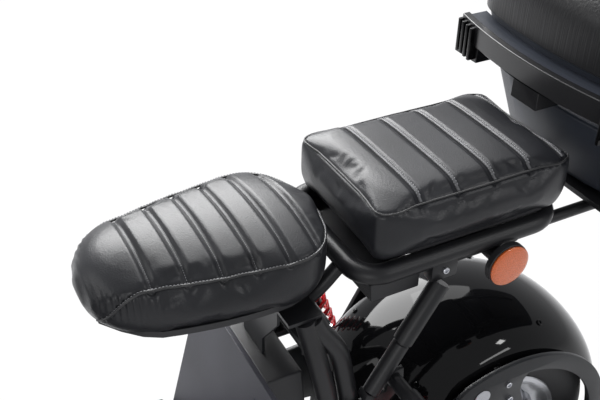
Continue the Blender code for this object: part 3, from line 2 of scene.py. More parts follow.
# # An electric scooter, dressed over its frame
# The construction of this scooter is already fixed: every tube, plate, wheel and
# hinge has its real size and its place. This file gives it its looks. It loads the
# construction, and then makes the finishes and the fine shapes.
# Lengths are metres. The front is -Y, the rider's left is +X and the floor is z = 0.

# %% Load the construction
import bpy
import bmesh
import json
from math import atan2, cos, exp, hypot, pi, radians, sin, sqrt, tau
from mathutils import Matrix, Vector, bvhtree, kdtree


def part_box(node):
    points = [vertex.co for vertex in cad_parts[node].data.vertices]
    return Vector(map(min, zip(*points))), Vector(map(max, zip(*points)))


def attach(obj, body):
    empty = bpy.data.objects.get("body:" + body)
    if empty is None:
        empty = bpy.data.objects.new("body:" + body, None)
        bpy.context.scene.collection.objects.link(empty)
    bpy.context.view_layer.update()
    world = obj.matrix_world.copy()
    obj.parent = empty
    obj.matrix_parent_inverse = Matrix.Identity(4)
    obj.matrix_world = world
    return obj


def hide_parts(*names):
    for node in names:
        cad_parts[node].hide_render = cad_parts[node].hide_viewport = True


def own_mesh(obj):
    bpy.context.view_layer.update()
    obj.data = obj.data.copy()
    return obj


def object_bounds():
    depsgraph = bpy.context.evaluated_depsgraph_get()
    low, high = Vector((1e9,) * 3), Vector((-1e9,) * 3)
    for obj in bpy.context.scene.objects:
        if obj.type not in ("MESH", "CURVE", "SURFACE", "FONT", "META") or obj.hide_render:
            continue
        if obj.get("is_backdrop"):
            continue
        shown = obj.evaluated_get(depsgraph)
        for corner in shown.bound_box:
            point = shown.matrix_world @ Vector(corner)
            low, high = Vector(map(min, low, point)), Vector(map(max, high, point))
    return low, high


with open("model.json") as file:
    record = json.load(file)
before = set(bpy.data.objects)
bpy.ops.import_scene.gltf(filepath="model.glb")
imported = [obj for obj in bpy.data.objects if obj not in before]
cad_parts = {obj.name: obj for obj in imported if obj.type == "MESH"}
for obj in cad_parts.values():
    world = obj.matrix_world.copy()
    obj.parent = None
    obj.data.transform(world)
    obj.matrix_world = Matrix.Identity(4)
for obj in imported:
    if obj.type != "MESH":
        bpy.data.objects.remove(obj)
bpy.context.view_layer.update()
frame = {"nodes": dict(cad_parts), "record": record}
NODES = frame["nodes"]
scene = bpy.context.scene


def placed(name, data):
    """A new object that holds the data, linked to the scene."""
    made = bpy.data.objects.new(name, data)
    scene.collection.objects.link(made)
    return made


def mesh_of(shape, name):
    """Turns a bmesh into a mesh."""
    mesh = bpy.data.meshes.new(name)
    shape.to_mesh(mesh)
    shape.free()
    return mesh


def set_all(thing, **settings):
    """Sets several attributes of one thing."""
    for name, value in settings.items():
        setattr(thing, name, value)
    return thing


print("pieces of the construction:", len(NODES))

# %% [markdown]
# ## The camera
# A product photograph is taken from above the scooter's left shoulder. A camera is
# best placed from facts: the seats' parallel channels meet at vanishing points, and
# those give the lens, the angle and the height. The result is written here as a
# place, an azimuth, an elevation and a small roll.

# %% Camera at the photograph's viewing angle
REAR_AXLE_Y = (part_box("rear_tyre")[0][1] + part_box("rear_tyre")[1][1]) / 2
AZIMUTH, ELEVATION, ROLL = [radians(angle) for angle in (62.1345, 34.7871, 0.808)]
FOCAL_PIXELS, IMAGE_WIDTH, SENSOR_WIDTH = 879.86, 600, 36


def aft(distance):
    """The Y of a place measured behind the rear axle."""
    return REAR_AXLE_Y + distance


def side_place(a, z, x=0.0):
    """A point given by its distance behind the rear axle, its height and its side."""
    return Vector((x, aft(a), z))


camera = placed("camera", set_all(bpy.data.cameras.new("camera"), sensor_width=SENSOR_WIDTH,
                                  lens=FOCAL_PIXELS / IMAGE_WIDTH * SENSOR_WIDTH))
turn = (Matrix.Rotation(AZIMUTH, 4, "Z") @ Matrix.Rotation(pi / 2 - ELEVATION, 4, "X")
        @ Matrix.Rotation(ROLL, 4, "Z"))
camera.matrix_world = Matrix.Translation(side_place(-0.7001, 1.3433, 0.7927)) @ turn
scene.camera = camera
print("lens", round(camera.data.lens, 1), "mm")

# %% [markdown]
# ## Studio
# The photograph has a white background. It comes from the floor and the world
# themselves, and not from more light on the scooter. Light Path tells the rays apart:
# to the camera both look white, and in whatever mirrors or refracts them they look
# partly white, while the light that they send to the scooter stays low.

# %% A surface that looks white
GLINT = 0.45
FLOOR_SHARE = 0.93
FLOOR_HALF = 12


def fill_inputs(tree, node, inputs):
    """Sets a node's inputs: another node's output is linked, anything else is the value."""
    for name, value in inputs.items():
        if isinstance(value, bpy.types.NodeSocket):
            tree.links.new(value, node.inputs[name])
        else:
            node.inputs[name].default_value = value


def add_node(tree, kind, inputs, **settings):
    """Adds a shader node with its settings and inputs."""
    node = set_all(tree.nodes.new("ShaderNode" + kind), **settings)
    fill_inputs(tree, node, inputs)
    return node


def mostly_white(tree, shader_output, target, share, white_kind="Emission"):
    """Mixes in white: by a share for camera rays, by GLINT for mirrored and refracted ones."""
    rays = add_node(tree, "LightPath", {}).outputs
    seen_in = add_node(tree, "Math", {0: rays["Is Glossy Ray"], 1: rays["Is Transmission Ray"]})
    glinting = add_node(tree, "Math", {0: seen_in.outputs[0], 1: GLINT}, operation="MULTIPLY")
    part = add_node(tree, "Math", {0: rays["Is Camera Ray"], 1: share, 2: glinting.outputs[0]},
                    operation="MULTIPLY_ADD")
    white = add_node(tree, white_kind, {"Color": (1, 1, 1, 1)})
    mix = add_node(tree, "MixShader", {0: part.outputs[0], 1: shader_output, 2: white.outputs[0]})
    tree.links.new(mix.outputs[0], target)


world = bpy.data.worlds.new("studio")
scene.world = world
world.use_nodes = True
world.node_tree.nodes.clear()
sky = add_node(world.node_tree, "Background", {"Color": (0.86, 0.90, 1.0, 1), "Strength": 0.28})
out = add_node(world.node_tree, "OutputWorld", {})
mostly_white(world.node_tree, sky.outputs[0], out.inputs["Surface"], 1.0, "Background")

sheet = bmesh.new()
bmesh.ops.create_grid(sheet, x_segments=1, y_segments=1, size=FLOOR_HALF)
floor = placed("floor", mesh_of(sheet, "floor"))
floor_paint = bpy.data.materials.new("pale_floor")
floor_paint.use_nodes = True
tree = floor_paint.node_tree
shader = tree.nodes["Principled BSDF"]
fill_inputs(tree, shader, {"Base Color": (0.66, 0.66, 0.67, 1), "Roughness": 0.9})
mostly_white(tree, shader.outputs[0], tree.nodes["Material Output"].inputs["Surface"], FLOOR_SHARE)
floor.data.materials.append(floor_paint)
floor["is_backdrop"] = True
scene.view_settings.view_transform = "Standard"
print("world and floor: white to the camera, and", GLINT, "white in reflections")

# %% [markdown]
# Black leather and black paint show nothing but what they reflect, so the lamps are
# wide and their places matter. One overhead and one behind give the seats their broad
# sheen, two weaker ones at the front lift the sides, and a narrow and a small one draw
# the bright marks on the fender.

# %% Lamps


def soft_lamp(name, place, aim, size, power):
    """A rectangular softbox that points at a place on the scooter."""
    lamp = placed(name, set_all(bpy.data.lights.new(name, "AREA"), shape="RECTANGLE", size=size[0],
                                size_y=size[1], energy=power))
    lamp.location = place
    lamp.rotation_euler = (aim - place).to_track_quat("-Z", "Y").to_euler()


SEATS, FENDER = side_place(-0.2, 0.6), side_place(0, 0.35, 0.1)
soft_lamp("overhead", side_place(0.4, 2.9, -1.1), SEATS, (1.7, 2.6), 42)
soft_lamp("back_lamp", side_place(-0.20, 2.2, -2.4), SEATS, (2.3, 1.7), 150)
soft_lamp("near_lamp", side_place(-2.2, 1.2, 2.4), SEATS, (1.4, 1.2), 15)
soft_lamp("front_lamp", side_place(-3.4, 2.0, -0.8), SEATS, (2.4, 1.6), 26)
soft_lamp("strip_lamp", side_place(0.75, 1.35, 1.55), FENDER, (0.75, 0.16), 3.5)
soft_lamp("spot_lamp", side_place(1.5, 2.6, 1.5), FENDER, (0.30, 0.30), 7)
print("lamps:", len(bpy.data.lights))

# %% [markdown]
# ## Finishes
# Every finish starts from one recipe: a Principled shader whose colour and roughness
# wander a little with noise, and a bump that carries the grain. What changes is the
# scale and kind of the grain: pebbled cells for leather, a fine speckle for powder
# coat, streaks for brushed metal. Patterns read Object coordinates, in metres, so
# the grain keeps its real size on every piece.

# %% The recipe for a finish


def tinted(tree, pattern, colour, darkest, lightest, places=(0.0, 1.0)):
    """A ramp between a darker and a lighter tone of the colour, driven by a pattern."""
    ramp = add_node(tree, "ValToRGB", {"Fac": pattern})
    for stop, tone, place in zip(ramp.color_ramp.elements, (darkest, lightest), places):
        stop.position = place
        stop.color = (*[min(1.0, c * tone) for c in colour], 1)
    return ramp.outputs["Color"]


def grained(tree, height, smoothest, roughest, bump, depth):
    """The roughness and the relief that one height pattern gives."""
    gloss = add_node(tree, "MapRange", {"To Min": smoothest, "To Max": roughest, "Value": height})
    relief = add_node(tree, "Bump", {"Strength": bump, "Distance": depth, "Height": height})
    return {"Roughness": gloss.outputs["Result"], "Normal": relief.outputs["Normal"]}


def new_material(name):
    """A material with its node tree, its shader and its Object coordinates."""
    material = bpy.data.materials.new(name)
    material.use_nodes = True
    tree = material.node_tree
    return material, tree, tree.nodes["Principled BSDF"], add_node(tree, "TexCoord", {}).outputs["Object"]


def finish(name, colour, roughness, metallic=0.0, grain=900.0, bump=0.08, depth=0.0004, vary=0.25,
           stretch=(1, 1, 1), cells=False, patchy=0.12, coat=0.0, specular=0.5):
    """A material with drifting colour, uneven gloss and a grain at its real scale."""
    material, tree, shader, place = new_material(name)
    drift = add_node(tree, "TexNoise", {"Scale": 9.0, "Detail": 5.0, "Vector": place})
    stretched = add_node(tree, "Mapping", {"Scale": stretch, "Vector": place}).outputs["Vector"]
    if cells:
        fine = add_node(tree, "TexVoronoi", {}, feature="SMOOTH_F1")
        height = fine.outputs["Distance"]
    else:
        fine = add_node(tree, "TexNoise", {"Detail": 3.0})
        height = fine.outputs["Fac"]
    fill_inputs(tree, fine, {"Scale": grain, "Vector": stretched})
    fill_inputs(tree, shader, {
        "Metallic": metallic, "Specular IOR Level": specular, "Coat Weight": coat, "Coat Roughness": 0.06,
        "Base Color": tinted(tree, drift.outputs["Fac"], colour, 1 - vary, 1 + vary, (0.30, 0.72)),
        **grained(tree, height, max(0.02, roughness * (1 - patchy)), min(1.0, roughness * (1 + patchy)),
                  bump, depth)})
    return material


def clear_finish(name, colour, ribs, roughness):
    """A moulded lens: it lets some light in, and it is ribbed like a real reflector."""
    material, tree, shader, place = new_material(name)
    pattern = add_node(tree, "TexVoronoi", {"Scale": ribs, "Vector": place}).outputs["Distance"]
    fill_inputs(tree, shader, {
        "Transmission Weight": 0.12, "Coat Weight": 0.7, "Coat Roughness": 0.04,
        "Base Color": tinted(tree, pattern, colour, 0.8, 1.25),
        **grained(tree, pattern, roughness, roughness * 2, 0.5, 0.0008)})
    return material


print("the recipe is ready")

# %% [markdown]
# The colours are dark on purpose. Real black paint and leather send back one to two
# parts in a hundred of the light, and everything brighter on them is a reflection.

# %% The finishes
LEATHER = finish("black_leather", (0.0155, 0.016, 0.0185), 0.36, grain=620, bump=0.30, depth=0.0005,
                 cells=True, patchy=0.22, specular=0.32)
THREAD = finish("grey_thread", (0.30, 0.30, 0.31), 0.60, grain=2400, bump=0.5)
WELT = finish("grey_welt", (0.10, 0.10, 0.104), 0.42, bump=0.30, cells=True)
PIPING = finish("black_piping", (0.022, 0.022, 0.023), 0.42, grain=700, bump=0.25, cells=True)
POWDER = finish("black_powder_coat", (0.011, 0.011, 0.0125), 0.38, grain=1500, bump=0.35, depth=0.0003,
                specular=0.35)
GREY_POWDER = finish("grey_powder_coat", (0.022, 0.023, 0.025), 0.38, grain=1500, bump=0.30, depth=0.0003,
                     specular=0.28)
GLOSS = finish("gloss_black", (0.0035, 0.0035, 0.004), 0.05, grain=60, bump=0.015, patchy=0.25, specular=0.22)
HANDLE_BLACK = finish("handle_plastic", (0.009, 0.009, 0.010), 0.26, grain=1500, bump=0.12)
RIBBED = finish("ribbed_black", (0.010, 0.010, 0.011), 0.34, grain=420, bump=0.85, depth=0.0006,
                stretch=(1, 1, 0.01), specular=0.28)
PLASTIC = finish("moulded_plastic", (0.014, 0.014, 0.016), 0.50, grain=1900, bump=0.45, depth=0.0002,
                 cells=True)
BOX_GREY = finish("box_plastic", (0.027, 0.031, 0.041), 0.42, grain=2100, bump=0.40, depth=0.0002, cells=True,
                  specular=0.28)
BATTERY = finish("battery_paint", (0.046, 0.046, 0.058), 0.46, grain=1300, bump=0.30, specular=0.35)
RUBBER = finish("grip_rubber", (0.012, 0.012, 0.012), 0.72, grain=800, bump=0.30)
TYRE = finish("tyre_rubber", (0.018, 0.018, 0.019), 0.68, grain=500, bump=0.25, patchy=0.2)
SILVER = finish("cast_aluminium", (0.62, 0.63, 0.66), 0.26, metallic=1.0, grain=420, bump=0.10, vary=0.08)
STEEL = finish("brushed_steel", (0.50, 0.51, 0.54), 0.30, metallic=1.0, grain=700, bump=0.15,
               stretch=(0.08, 1, 1), vary=0.08, patchy=0.3)
CHROME = finish("chrome", (0.80, 0.81, 0.84), 0.07, metallic=1.0, grain=90, bump=0.01, vary=0.04)
RED = finish("red_enamel", (0.50, 0.008, 0.012), 0.20, grain=260, bump=0.04, vary=0.15, coat=0.5)
AMBER = clear_finish("amber_lens", (0.86, 0.150, 0.014), 800, 0.20)
LENS = clear_finish("clear_lens", (0.80, 0.84, 0.88), 140, 0.05)
print("finishes:", len(bpy.data.materials) - 1)

# %% [markdown]
# ## Helpers for shapes
# A shape is built in a bmesh and handed over with one call: it gets its name, its
# finish and the body that it moves with. Four tools make nearly all of them: a curve
# with a round bevel gives a bent tube, an extruded outline gives a plate, a spun
# profile gives a turned piece, and a bevelled cube gives a block.

# %% Handing over, tubes and plates
SIDES = ((1, "left"), (-1, "right"))
NEAR_AXIS = 0.0001
MERGED = 1e-6


def hand_over(shape, name, finish_of, body, replaces=(), sharp=35):
    """Turns a bmesh into a named piece that rides on a body."""
    bmesh.ops.remove_doubles(shape, verts=shape.verts, dist=MERGED)
    bmesh.ops.recalc_face_normals(shape, faces=shape.faces)
    mesh = mesh_of(shape, name)
    mesh.materials.append(finish_of)
    mesh.shade_smooth()
    mesh.set_sharp_from_angle(angle=radians(sharp))
    piece = placed(name, mesh)
    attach(piece, body)
    if replaces:
        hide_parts(*replaces)
    return piece


def smooth_run(points, per_span=8):
    """A smooth run of points through the given ones."""
    given = [Vector(p) for p in points]
    ends = [2 * given[0] - given[1], *given, 2 * given[-1] - given[-2]]
    run = []
    for i in range(1, len(ends) - 2):
        a, b, c, d = ends[i - 1:i + 3]
        for step in range(per_span):
            t = step / per_span
            run.append(0.5 * (2 * b + (c - a) * t + (2 * a - 5 * b + 4 * c - d) * t**2
                              + (3 * b - a - 3 * c + d) * t**3))
    return [*run, given[-1]]


def add_curve(shape, curve, runs, closed, matrix=Matrix()):
    """Adds what a curve's bevel makes of runs of places."""
    for run in runs:
        line = curve.splines.new("POLY")
        line.points.add(len(run) - 1)
        line.use_cyclic_u = closed
        for point, place in zip(line.points, run):
            point.co = (*place, 1)
    holder = placed("run", curve)
    graph = bpy.context.evaluated_depsgraph_get()
    mesh = bpy.data.meshes.new_from_object(holder.evaluated_get(graph))
    mesh.transform(matrix)
    shape.from_mesh(mesh)
    bpy.data.objects.remove(holder)
    bpy.data.meshes.remove(mesh)


def add_tube(shape, run, radius, smoothness=5, closed=False):
    """Adds a bent tube: a curve through the run with a round bevel and capped ends."""
    curve = set_all(bpy.data.curves.new("run", "CURVE"), dimensions="3D", bevel_depth=radius,
                    bevel_resolution=smoothness, use_fill_caps=not closed)
    add_curve(shape, curve, [run], closed)


def add_plate(shape, outlines, x_low, x_high, edge=0.0008):
    """Adds a plate cut to side-view outlines of (aft, height) points; the later ones are holes."""
    curve = set_all(bpy.data.curves.new("plate", "CURVE"), dimensions="2D", fill_mode="BOTH",
                    extrude=(x_high - x_low) / 2 - edge, bevel_depth=edge, bevel_resolution=1, offset=-edge)
    upright = Matrix(((0, 0, 1, (x_low + x_high) / 2), (1, 0, 0, REAR_AXLE_Y), (0, 1, 0, 0), (0, 0, 0, 1)))
    add_curve(shape, curve, [[(a, z, 0) for a, z in outline] for outline in outlines], True, upright)


print("tubes and plates are ready")

# %% [markdown]
# A turned piece is either solid to its axis, like a bolt, or a ring, whose section
# closes on itself. A profile gives each point's place along the axis and its radius.

# %% Turned pieces and blocks


def add_turned(shape, profile, centre, axis, steps=32):
    """Adds a turned piece: (along, radius) points spun about the axis through the centre."""
    way = Vector(axis).normalized()
    side = way.orthogonal().normalized()
    centre = Vector(centre)
    points = [shape.verts.new(centre + along * way + radius * side) for along, radius in profile]
    edges = [shape.edges.new(pair) for pair in zip(points, points[1:])]
    bmesh.ops.spin(shape, geom=[*points, *edges], cent=centre, axis=way, angle=tau, steps=steps,
                   use_merge=True)
    bmesh.ops.remove_doubles(shape, verts=shape.verts, dist=MERGED)


def add_drum(shape, profile, centre, axis, steps=32):
    """Adds a turned piece whose two ends are closed by flat faces."""
    closed = [(profile[0][0], NEAR_AXIS), *profile, (profile[-1][0], NEAR_AXIS)]
    add_turned(shape, closed, centre, axis, steps)


def add_ring(shape, profile, centre, axis, steps=32):
    """Adds a turned ring, whose profile closes on its first point."""
    add_turned(shape, [*profile, profile[0]], centre, axis, steps)


def add_peg(shape, shoulder, length, centre, axis, root=0.0105, radius=0.006):
    """Adds a peg that steps down from its root to its pin at the shoulder."""
    add_drum(shape, [(0, root), (shoulder, root), (shoulder, radius), (length, radius)], centre, axis)


def add_bolt(shape, place, way, radius=0.0045, height=0.0035):
    """Adds a bolt's head: a drum with a round socket."""
    bevel, socket = 0.0006, radius * 0.55
    add_drum(shape, [(0, radius), (height - bevel, radius), (height, radius - bevel), (height, socket),
                     (height * 0.45, socket)], place, way, 18)


def add_block(shape, size, centre, edge=0.001, turn=None):
    """Adds a block with rounded edges."""
    matrix = Matrix.Translation(centre) @ (turn or Matrix()) @ Matrix.Diagonal((*size, 1))
    made = bmesh.ops.create_cube(shape, size=1, matrix=matrix)
    edges = list({e for v in made["verts"] for e in v.link_edges})
    bmesh.ops.bevel(shape, geom=edges, offset=edge, segments=2, profile=0.5, affect="EDGES", material=-1)


def add_loft(shape, rings):
    """Adds a closed skin through rings of places, with a cap at each end."""
    rings = [[shape.verts.new(place) for place in ring] for ring in rings]
    for near, far in zip(rings, rings[1:]):
        for i, vert in enumerate(near):
            j = (i + 1) % len(near)
            shape.faces.new((vert, near[j], far[j], far[i]))
    shape.faces.new(rings[0])
    shape.faces.new(rings[-1])


def arc_places(centre, radius, start, end, steps):
    """Places on an arc about a centre, from one angle to another in degrees."""
    angles = [radians(start + (end - start) * k / steps) for k in range(steps + 1)]
    return [(centre[0] + radius * cos(t), centre[1] + radius * sin(t)) for t in angles]


def applied(piece):
    """Replaces the piece's mesh by what its modifiers make of it."""
    graph = bpy.context.evaluated_depsgraph_get()
    mesh = bpy.data.meshes.new_from_object(piece.evaluated_get(graph))
    piece.modifiers.clear()
    piece.data = mesh


print("turned pieces, blocks and lofts are ready")

# %% [markdown]
# ## Pieces that keep the shape of the construction
# Most brackets, boxes and clamps already have the right form, but their edges are
# razor sharp, and light never catches an edge like that. Each is copied, its loose
# triangles are welded and joined into flat faces, and its corners get a small bevel.

# %% Welded and bevelled copies
FINISH_OF_SLOT = {
    "black_paint": POWDER, "grey_paint": GREY_POWDER, "gloss_black": GLOSS, "black_plastic": PLASTIC,
    "battery_paint": BATTERY, "black_leather": LEATHER, "rubber": RUBBER, "tyre_rubber": TYRE,
    "silver": SILVER, "steel": STEEL, "chrome": CHROME, "red_paint": RED, "amber": AMBER,
    "clear_lens": LENS, "box_plastic": BOX_GREY,
}
SLOT_OF_NODE = {part["node"]: part["material_slot"] for part in frame["record"]["subparts"]}
BODY_OF_NODE = {
    node: body for body, members in frame["record"]["behaviour"]["bodies"].items() for node in members
}


def welded(node):
    """The node's triangles as one joined mesh, with its flat faces made whole."""
    shape = bmesh.new()
    shape.from_mesh(NODES[node].data)
    bmesh.ops.remove_doubles(shape, verts=shape.verts, dist=1e-5)
    bmesh.ops.dissolve_limit(shape, angle_limit=radians(1.5), verts=shape.verts, edges=shape.edges)
    return shape


def refined(node, edge, finish_of=None, sharp=38):
    """A copy of a node with a small bevel on every sharp edge."""
    piece = hand_over(welded(node), f"{node}_form", finish_of or FINISH_OF_SLOT[SLOT_OF_NODE[node]],
                      BODY_OF_NODE[node], [node], sharp)
    set_all(piece.modifiers.new("edges", "BEVEL"), width=edge, segments=2, limit_method="ANGLE",
            angle_limit=radians(sharp), harden_normals=True)


SOFT_EDGES = {
    "deck_plate": 0.002, "deck_mat": 0.0006, "battery_case": 0.003, "battery_panel": 0.0014,
    "saddle_mount": 0.0012, "tail_tray": 0.002, "controller_box": 0.002, "rear_seat_base": 0.0015,
    "saddle_base": 0.0012, "carrier": 0.0012, "box_latch": 0.002, "stand_bracket": 0.0008,
    "side_stand": 0.0006, "fork_yoke": 0.0012, "top_crown": 0.0012, "stanchion_left": 0.0006,
    "stanchion_right": 0.0006, "handlebar": 0.0003, "brake_perch_left": 0.0006,
    "brake_perch_right": 0.0006, "headlight_shell": 0.001, "headlight_lens": 0.0004,
    "slider_left": 0.0008, "slider_right": 0.0008, "front_axle": 0.0006, "pivot_shaft": 0.0012,
    "rear_axle": 0.0012, "front_rim": 0.0012, "rear_rim": 0.0012, "brake_disc": 0.0003,
    "shock_body_left": 0.0006, "shock_body_right": 0.0006, "shock_rod_left": 0.0004,
    "shock_rod_right": 0.0004, "left_grip": 0.0008, "throttle_grip": 0.0008, "brake_lever_left": 0.0008,
    "brake_lever_right": 0.0008, "horn_button": 0.0004, "light_button": 0.0004,
}
for node, edge in SOFT_EDGES.items():
    refined(node, edge)
refined("saddle_bracket", 0.0006, GREY_POWDER)
print("copies with soft edges:", len(SOFT_EDGES) + 1)

# %% [markdown]
# ## Padded seats
# A scooter seat is foam under a sewn cover: it swells between its seams and is drawn
# in at its hem. It could be sculpted, but a short cloth simulation finds the swelling
# by itself. The plan below starts as a grid cube pressed to the seat's outline. It is
# remeshed, blown up a little as cloth, and capped so that no point moves far. The
# sewn channels come after, because the remesh would erase them.

# %% A pad blown up as cloth
PAD_VOXEL = 0.0045
PAD_PRESSURE = 3.2
PAD_FRAMES = 16
PAD_STIFFNESS = 18
HEM_PART = 0.45
SHOULDER_PART, SHOULDER_SPAN, SHOULDER_DRAW = 0.85, 0.15, 0.025


def pressed_pad(name, front, rear, half_width, low, top, hem, cuts):
    """A grid cube pressed to an outline: half_width(a) and top(a, part across) shape it."""
    shape = bmesh.new()
    bmesh.ops.create_cube(shape, size=2)
    bmesh.ops.subdivide_edges(shape, edges=shape.edges[:], cuts=cuts, use_grid_fill=True)
    middle, reach = (front + rear) / 2, (rear - front) / 2
    for vert in shape.verts:
        across_part, along_part, level = vert.co
        a = middle + along_part * reach
        height = (level + 1) / 2
        drawn_low = hem * (1 - min(1.0, height / HEM_PART))**2
        drawn_high = SHOULDER_DRAW * max(0.0, (height - SHOULDER_PART) / SHOULDER_SPAN)**2
        draw = 1 - drawn_low - drawn_high
        x = across_part * half_width(a) * draw
        y = aft(middle + along_part * reach * (1 - (1 - draw) * 0.7))
        vert.co = (x, y, low + height * (top(a, across_part) - low))
    bmesh.ops.recalc_face_normals(shape, faces=shape.faces)
    return placed(name, mesh_of(shape, name))


def reshaped(pad, kind, **settings):
    """Replaces the pad's mesh by what one modifier makes of it."""
    set_all(pad.modifiers.new(kind.lower(), kind), **settings)
    applied(pad)


def blown_up(pad, cap):
    """Remeshes the pad, runs a few frames of cloth under pressure, and caps the movement."""
    reshaped(pad, "REMESH", mode="VOXEL", voxel_size=PAD_VOXEL)
    reshaped(pad, "SMOOTH", iterations=4)
    start = [vert.co.copy() for vert in pad.data.vertices]
    cloth = pad.modifiers.new("cloth", "CLOTH")
    set_all(cloth.settings, use_pressure=True, uniform_pressure_force=PAD_PRESSURE, quality=4,
            tension_stiffness=PAD_STIFFNESS, compression_stiffness=PAD_STIFFNESS, bending_stiffness=1.0)
    cloth.settings.effector_weights.gravity = 0
    set_all(cloth.point_cache, frame_start=1, frame_end=PAD_FRAMES)
    for number in range(1, PAD_FRAMES + 1):
        scene.frame_set(number)
    applied(pad)
    scene.frame_set(1)
    for vert, home in zip(pad.data.vertices, start):
        move = vert.co - home
        if move.length > cap:
            vert.co = home + move * (cap / move.length)
    reshaped(pad, "SUBSURF", levels=1, render_levels=1)


print("pad tools are ready")

# %% [markdown]
# Sewing changes a pad in two ways: a channel is a valley across its top, and a seam is
# a groove round its edge with a thin cord in it. Both are made by moving vertices
# toward the inside, with a fall-off that depends on the distance from the stitch line.
# The stitches themselves are tiny beads laid along those lines.

# %% Channels, seams and stitches
CHANNEL_HALF = 0.0075


def inward_seams(pad, runs, depth, reach):
    """Draws the pad in along seam runs, most at the stitch line."""
    tree = kdtree.KDTree(sum(len(run) for run in runs))
    for number, point in enumerate(point for run in runs for point in run):
        tree.insert(point, number)
    tree.balance()
    normals = [vert.normal.copy() for vert in pad.data.vertices]
    for vert, normal in zip(pad.data.vertices, normals):
        distance = tree.find(vert.co)[2]
        if distance < reach:
            vert.co -= depth * (1 - distance / reach)**2 * normal


def sew_channels(pad, channels, depth, half_width, low):
    """Presses a valley across the top at each channel, fading out at the seam."""
    facing_up = [vert.normal.z > 0.1 for vert in pad.data.vertices]
    for vert, up in zip(pad.data.vertices, facing_up):
        if not up or vert.co.z < low:
            continue
        a = vert.co.y - REAR_AXLE_Y
        edge = min(1.0, abs(vert.co.x) / half_width(a))
        fade = 1 - max(0.0, (edge - 0.90) / 0.10)**2
        for centre in channels:
            off = abs(a - centre) / CHANNEL_HALF
            if off < 1:
                vert.co.z -= depth * fade * (0.5 + 0.5 * cos(pi * off))**0.8


def pad_tree(pad):
    """What rays are cast at to find places on the pad."""
    return bvhtree.BVHTree.FromPolygons([v.co for v in pad.data.vertices],
                                        [tuple(p.vertices) for p in pad.data.polygons])


def on_side(tree, origin, way, reach=0.4):
    """Where a level ray from outside meets the pad, coming in toward the origin."""
    return tree.ray_cast(origin + way * reach, -way)[0]


def on_top(tree, x, a):
    """Where a ray from above meets the pad."""
    return tree.ray_cast(Vector((x, aft(a), 1.2)), Vector((0, 0, -1)))[0]


def across_row(tree, half, a, count):
    """Places on the pad's top along one line across it."""
    return [on_top(tree, -half + 2 * half * k / count, a) for k in range(count + 1)]


def even(run, gap):
    """Points at an even gap along a run."""
    points, carry = [], 0.0
    for start, end in zip(run, run[1:]):
        length = (end - start).length
        while carry < length:
            points.append(start.lerp(end, carry / length))
            carry += gap
        carry -= length
    return points


def add_stitches(shape, run, length=0.0030, radius=0.00042, lift=0.0):
    """Lays beads of thread end to end along a run."""
    points = even(run, length * 1.35)
    bead = bmesh.new()
    bmesh.ops.create_icosphere(bead, subdivisions=1, radius=radius)
    mesh = mesh_of(bead, "bead")
    for here, there in zip(points, points[1:]):
        turn = (there - here).to_track_quat("Z", "Y").to_matrix().to_4x4()
        matrix = (Matrix.Translation(here + Vector((0, 0, lift))) @ turn
                  @ Matrix.Diagonal((1, 1, length / radius / 2, 1)))
        mesh.transform(matrix)
        shape.from_mesh(mesh)
        mesh.transform(matrix.inverted())
    bpy.data.meshes.remove(mesh)


print("sewing tools are ready")

# %% [markdown]
# ## Driver's saddle
# The saddle is wide behind and round at its nose. Six channels cross it. A piped seam
# runs along both sides and round the back, and at the nose it turns down to the hem,
# so the top panel wraps over the front. Near those corners the side panel puckers.

# %% Saddle
SADDLE_ROWS = [(-0.5725, 0.018), (-0.5660, 0.038), (-0.5510, 0.056), (-0.5290, 0.068), (-0.5000, 0.078),
               (-0.463, 0.088), (-0.421, 0.097), (-0.380, 0.102), (-0.343, 0.1045), (-0.318, 0.1015),
               (-0.300, 0.0930), (-0.284, 0.0780), (-0.272, 0.0560), (-0.264, 0.0240)]
SADDLE_CHANNELS = [-0.5000 + 0.0395 * index for index in range(6)]
SADDLE_FRONT, SADDLE_REAR, SADDLE_LOW, SADDLE_SEAM = -0.5715, -0.264, 0.6412, 0.7125
SADDLE_CORNER, SADDLE_TURN, SADDLE_CLIMB = -0.560, -0.345, 0.052
SEAM_FOOT = 0.008


def row_value(rows, a):
    """Reads a value between rows of (distance, value)."""
    if a <= rows[0][0]:
        return rows[0][1]
    for (a0, v0), (a1, v1) in zip(rows, rows[1:]):
        if a <= a1:
            return v0 + (v1 - v0) * (a - a0) / (a1 - a0)
    return rows[-1][1]


def saddle_half(a):
    """Half the saddle's width at a."""
    return row_value(SADDLE_ROWS, a)


def saddle_top(a, part):
    """The top's height: crowned across, rounded down at the nose and a little at the tail."""
    nose = max(0.0, (-0.512 - a) / 0.063)
    drop = 0.050 * (1 - sqrt(max(0.0, 1 - min(1.0, nose)**2)))
    tail = max(0.0, (a + 0.315) / 0.051)
    return SADDLE_SEAM + 0.004 + 0.0135 * (1 - part**2) - drop - 0.006 * tail**2


saddle = pressed_pad("saddle_pad", SADDLE_FRONT, SADDLE_REAR, saddle_half, SADDLE_LOW, saddle_top, 0.10,
                     cuts=40)
for vert in saddle.data.vertices:
    nose = max(0.0, (-0.500 - (vert.co.y - REAR_AXLE_Y)) / 0.08)
    low = max(0.0, (0.690 - vert.co.z) / 0.05)
    vert.co.y += 0.022 * nose * low**1.5
    vert.co.x *= 1 - 0.14 * nose * low**1.5
blown_up(saddle, 0.005)
tree = pad_tree(saddle)


def saddle_seam_side(side):
    """The seam along one side: it leaves the hem beside the nose and climbs to the top's edge."""
    run = []
    for step in range(57):
        a = SADDLE_CORNER + (SADDLE_TURN - SADDLE_CORNER) * step / 56
        rise = min(1.0, max(0.0, (a - SADDLE_CORNER) / SADDLE_CLIMB))
        climb = (SADDLE_SEAM - SADDLE_LOW - SEAM_FOOT) * sin(rise * pi / 2)**0.75
        point = on_side(tree, side_place(a, SADDLE_LOW + SEAM_FOOT + climb), Vector((side, 0, 0)))
        if point:
            run.append(point)
    return run


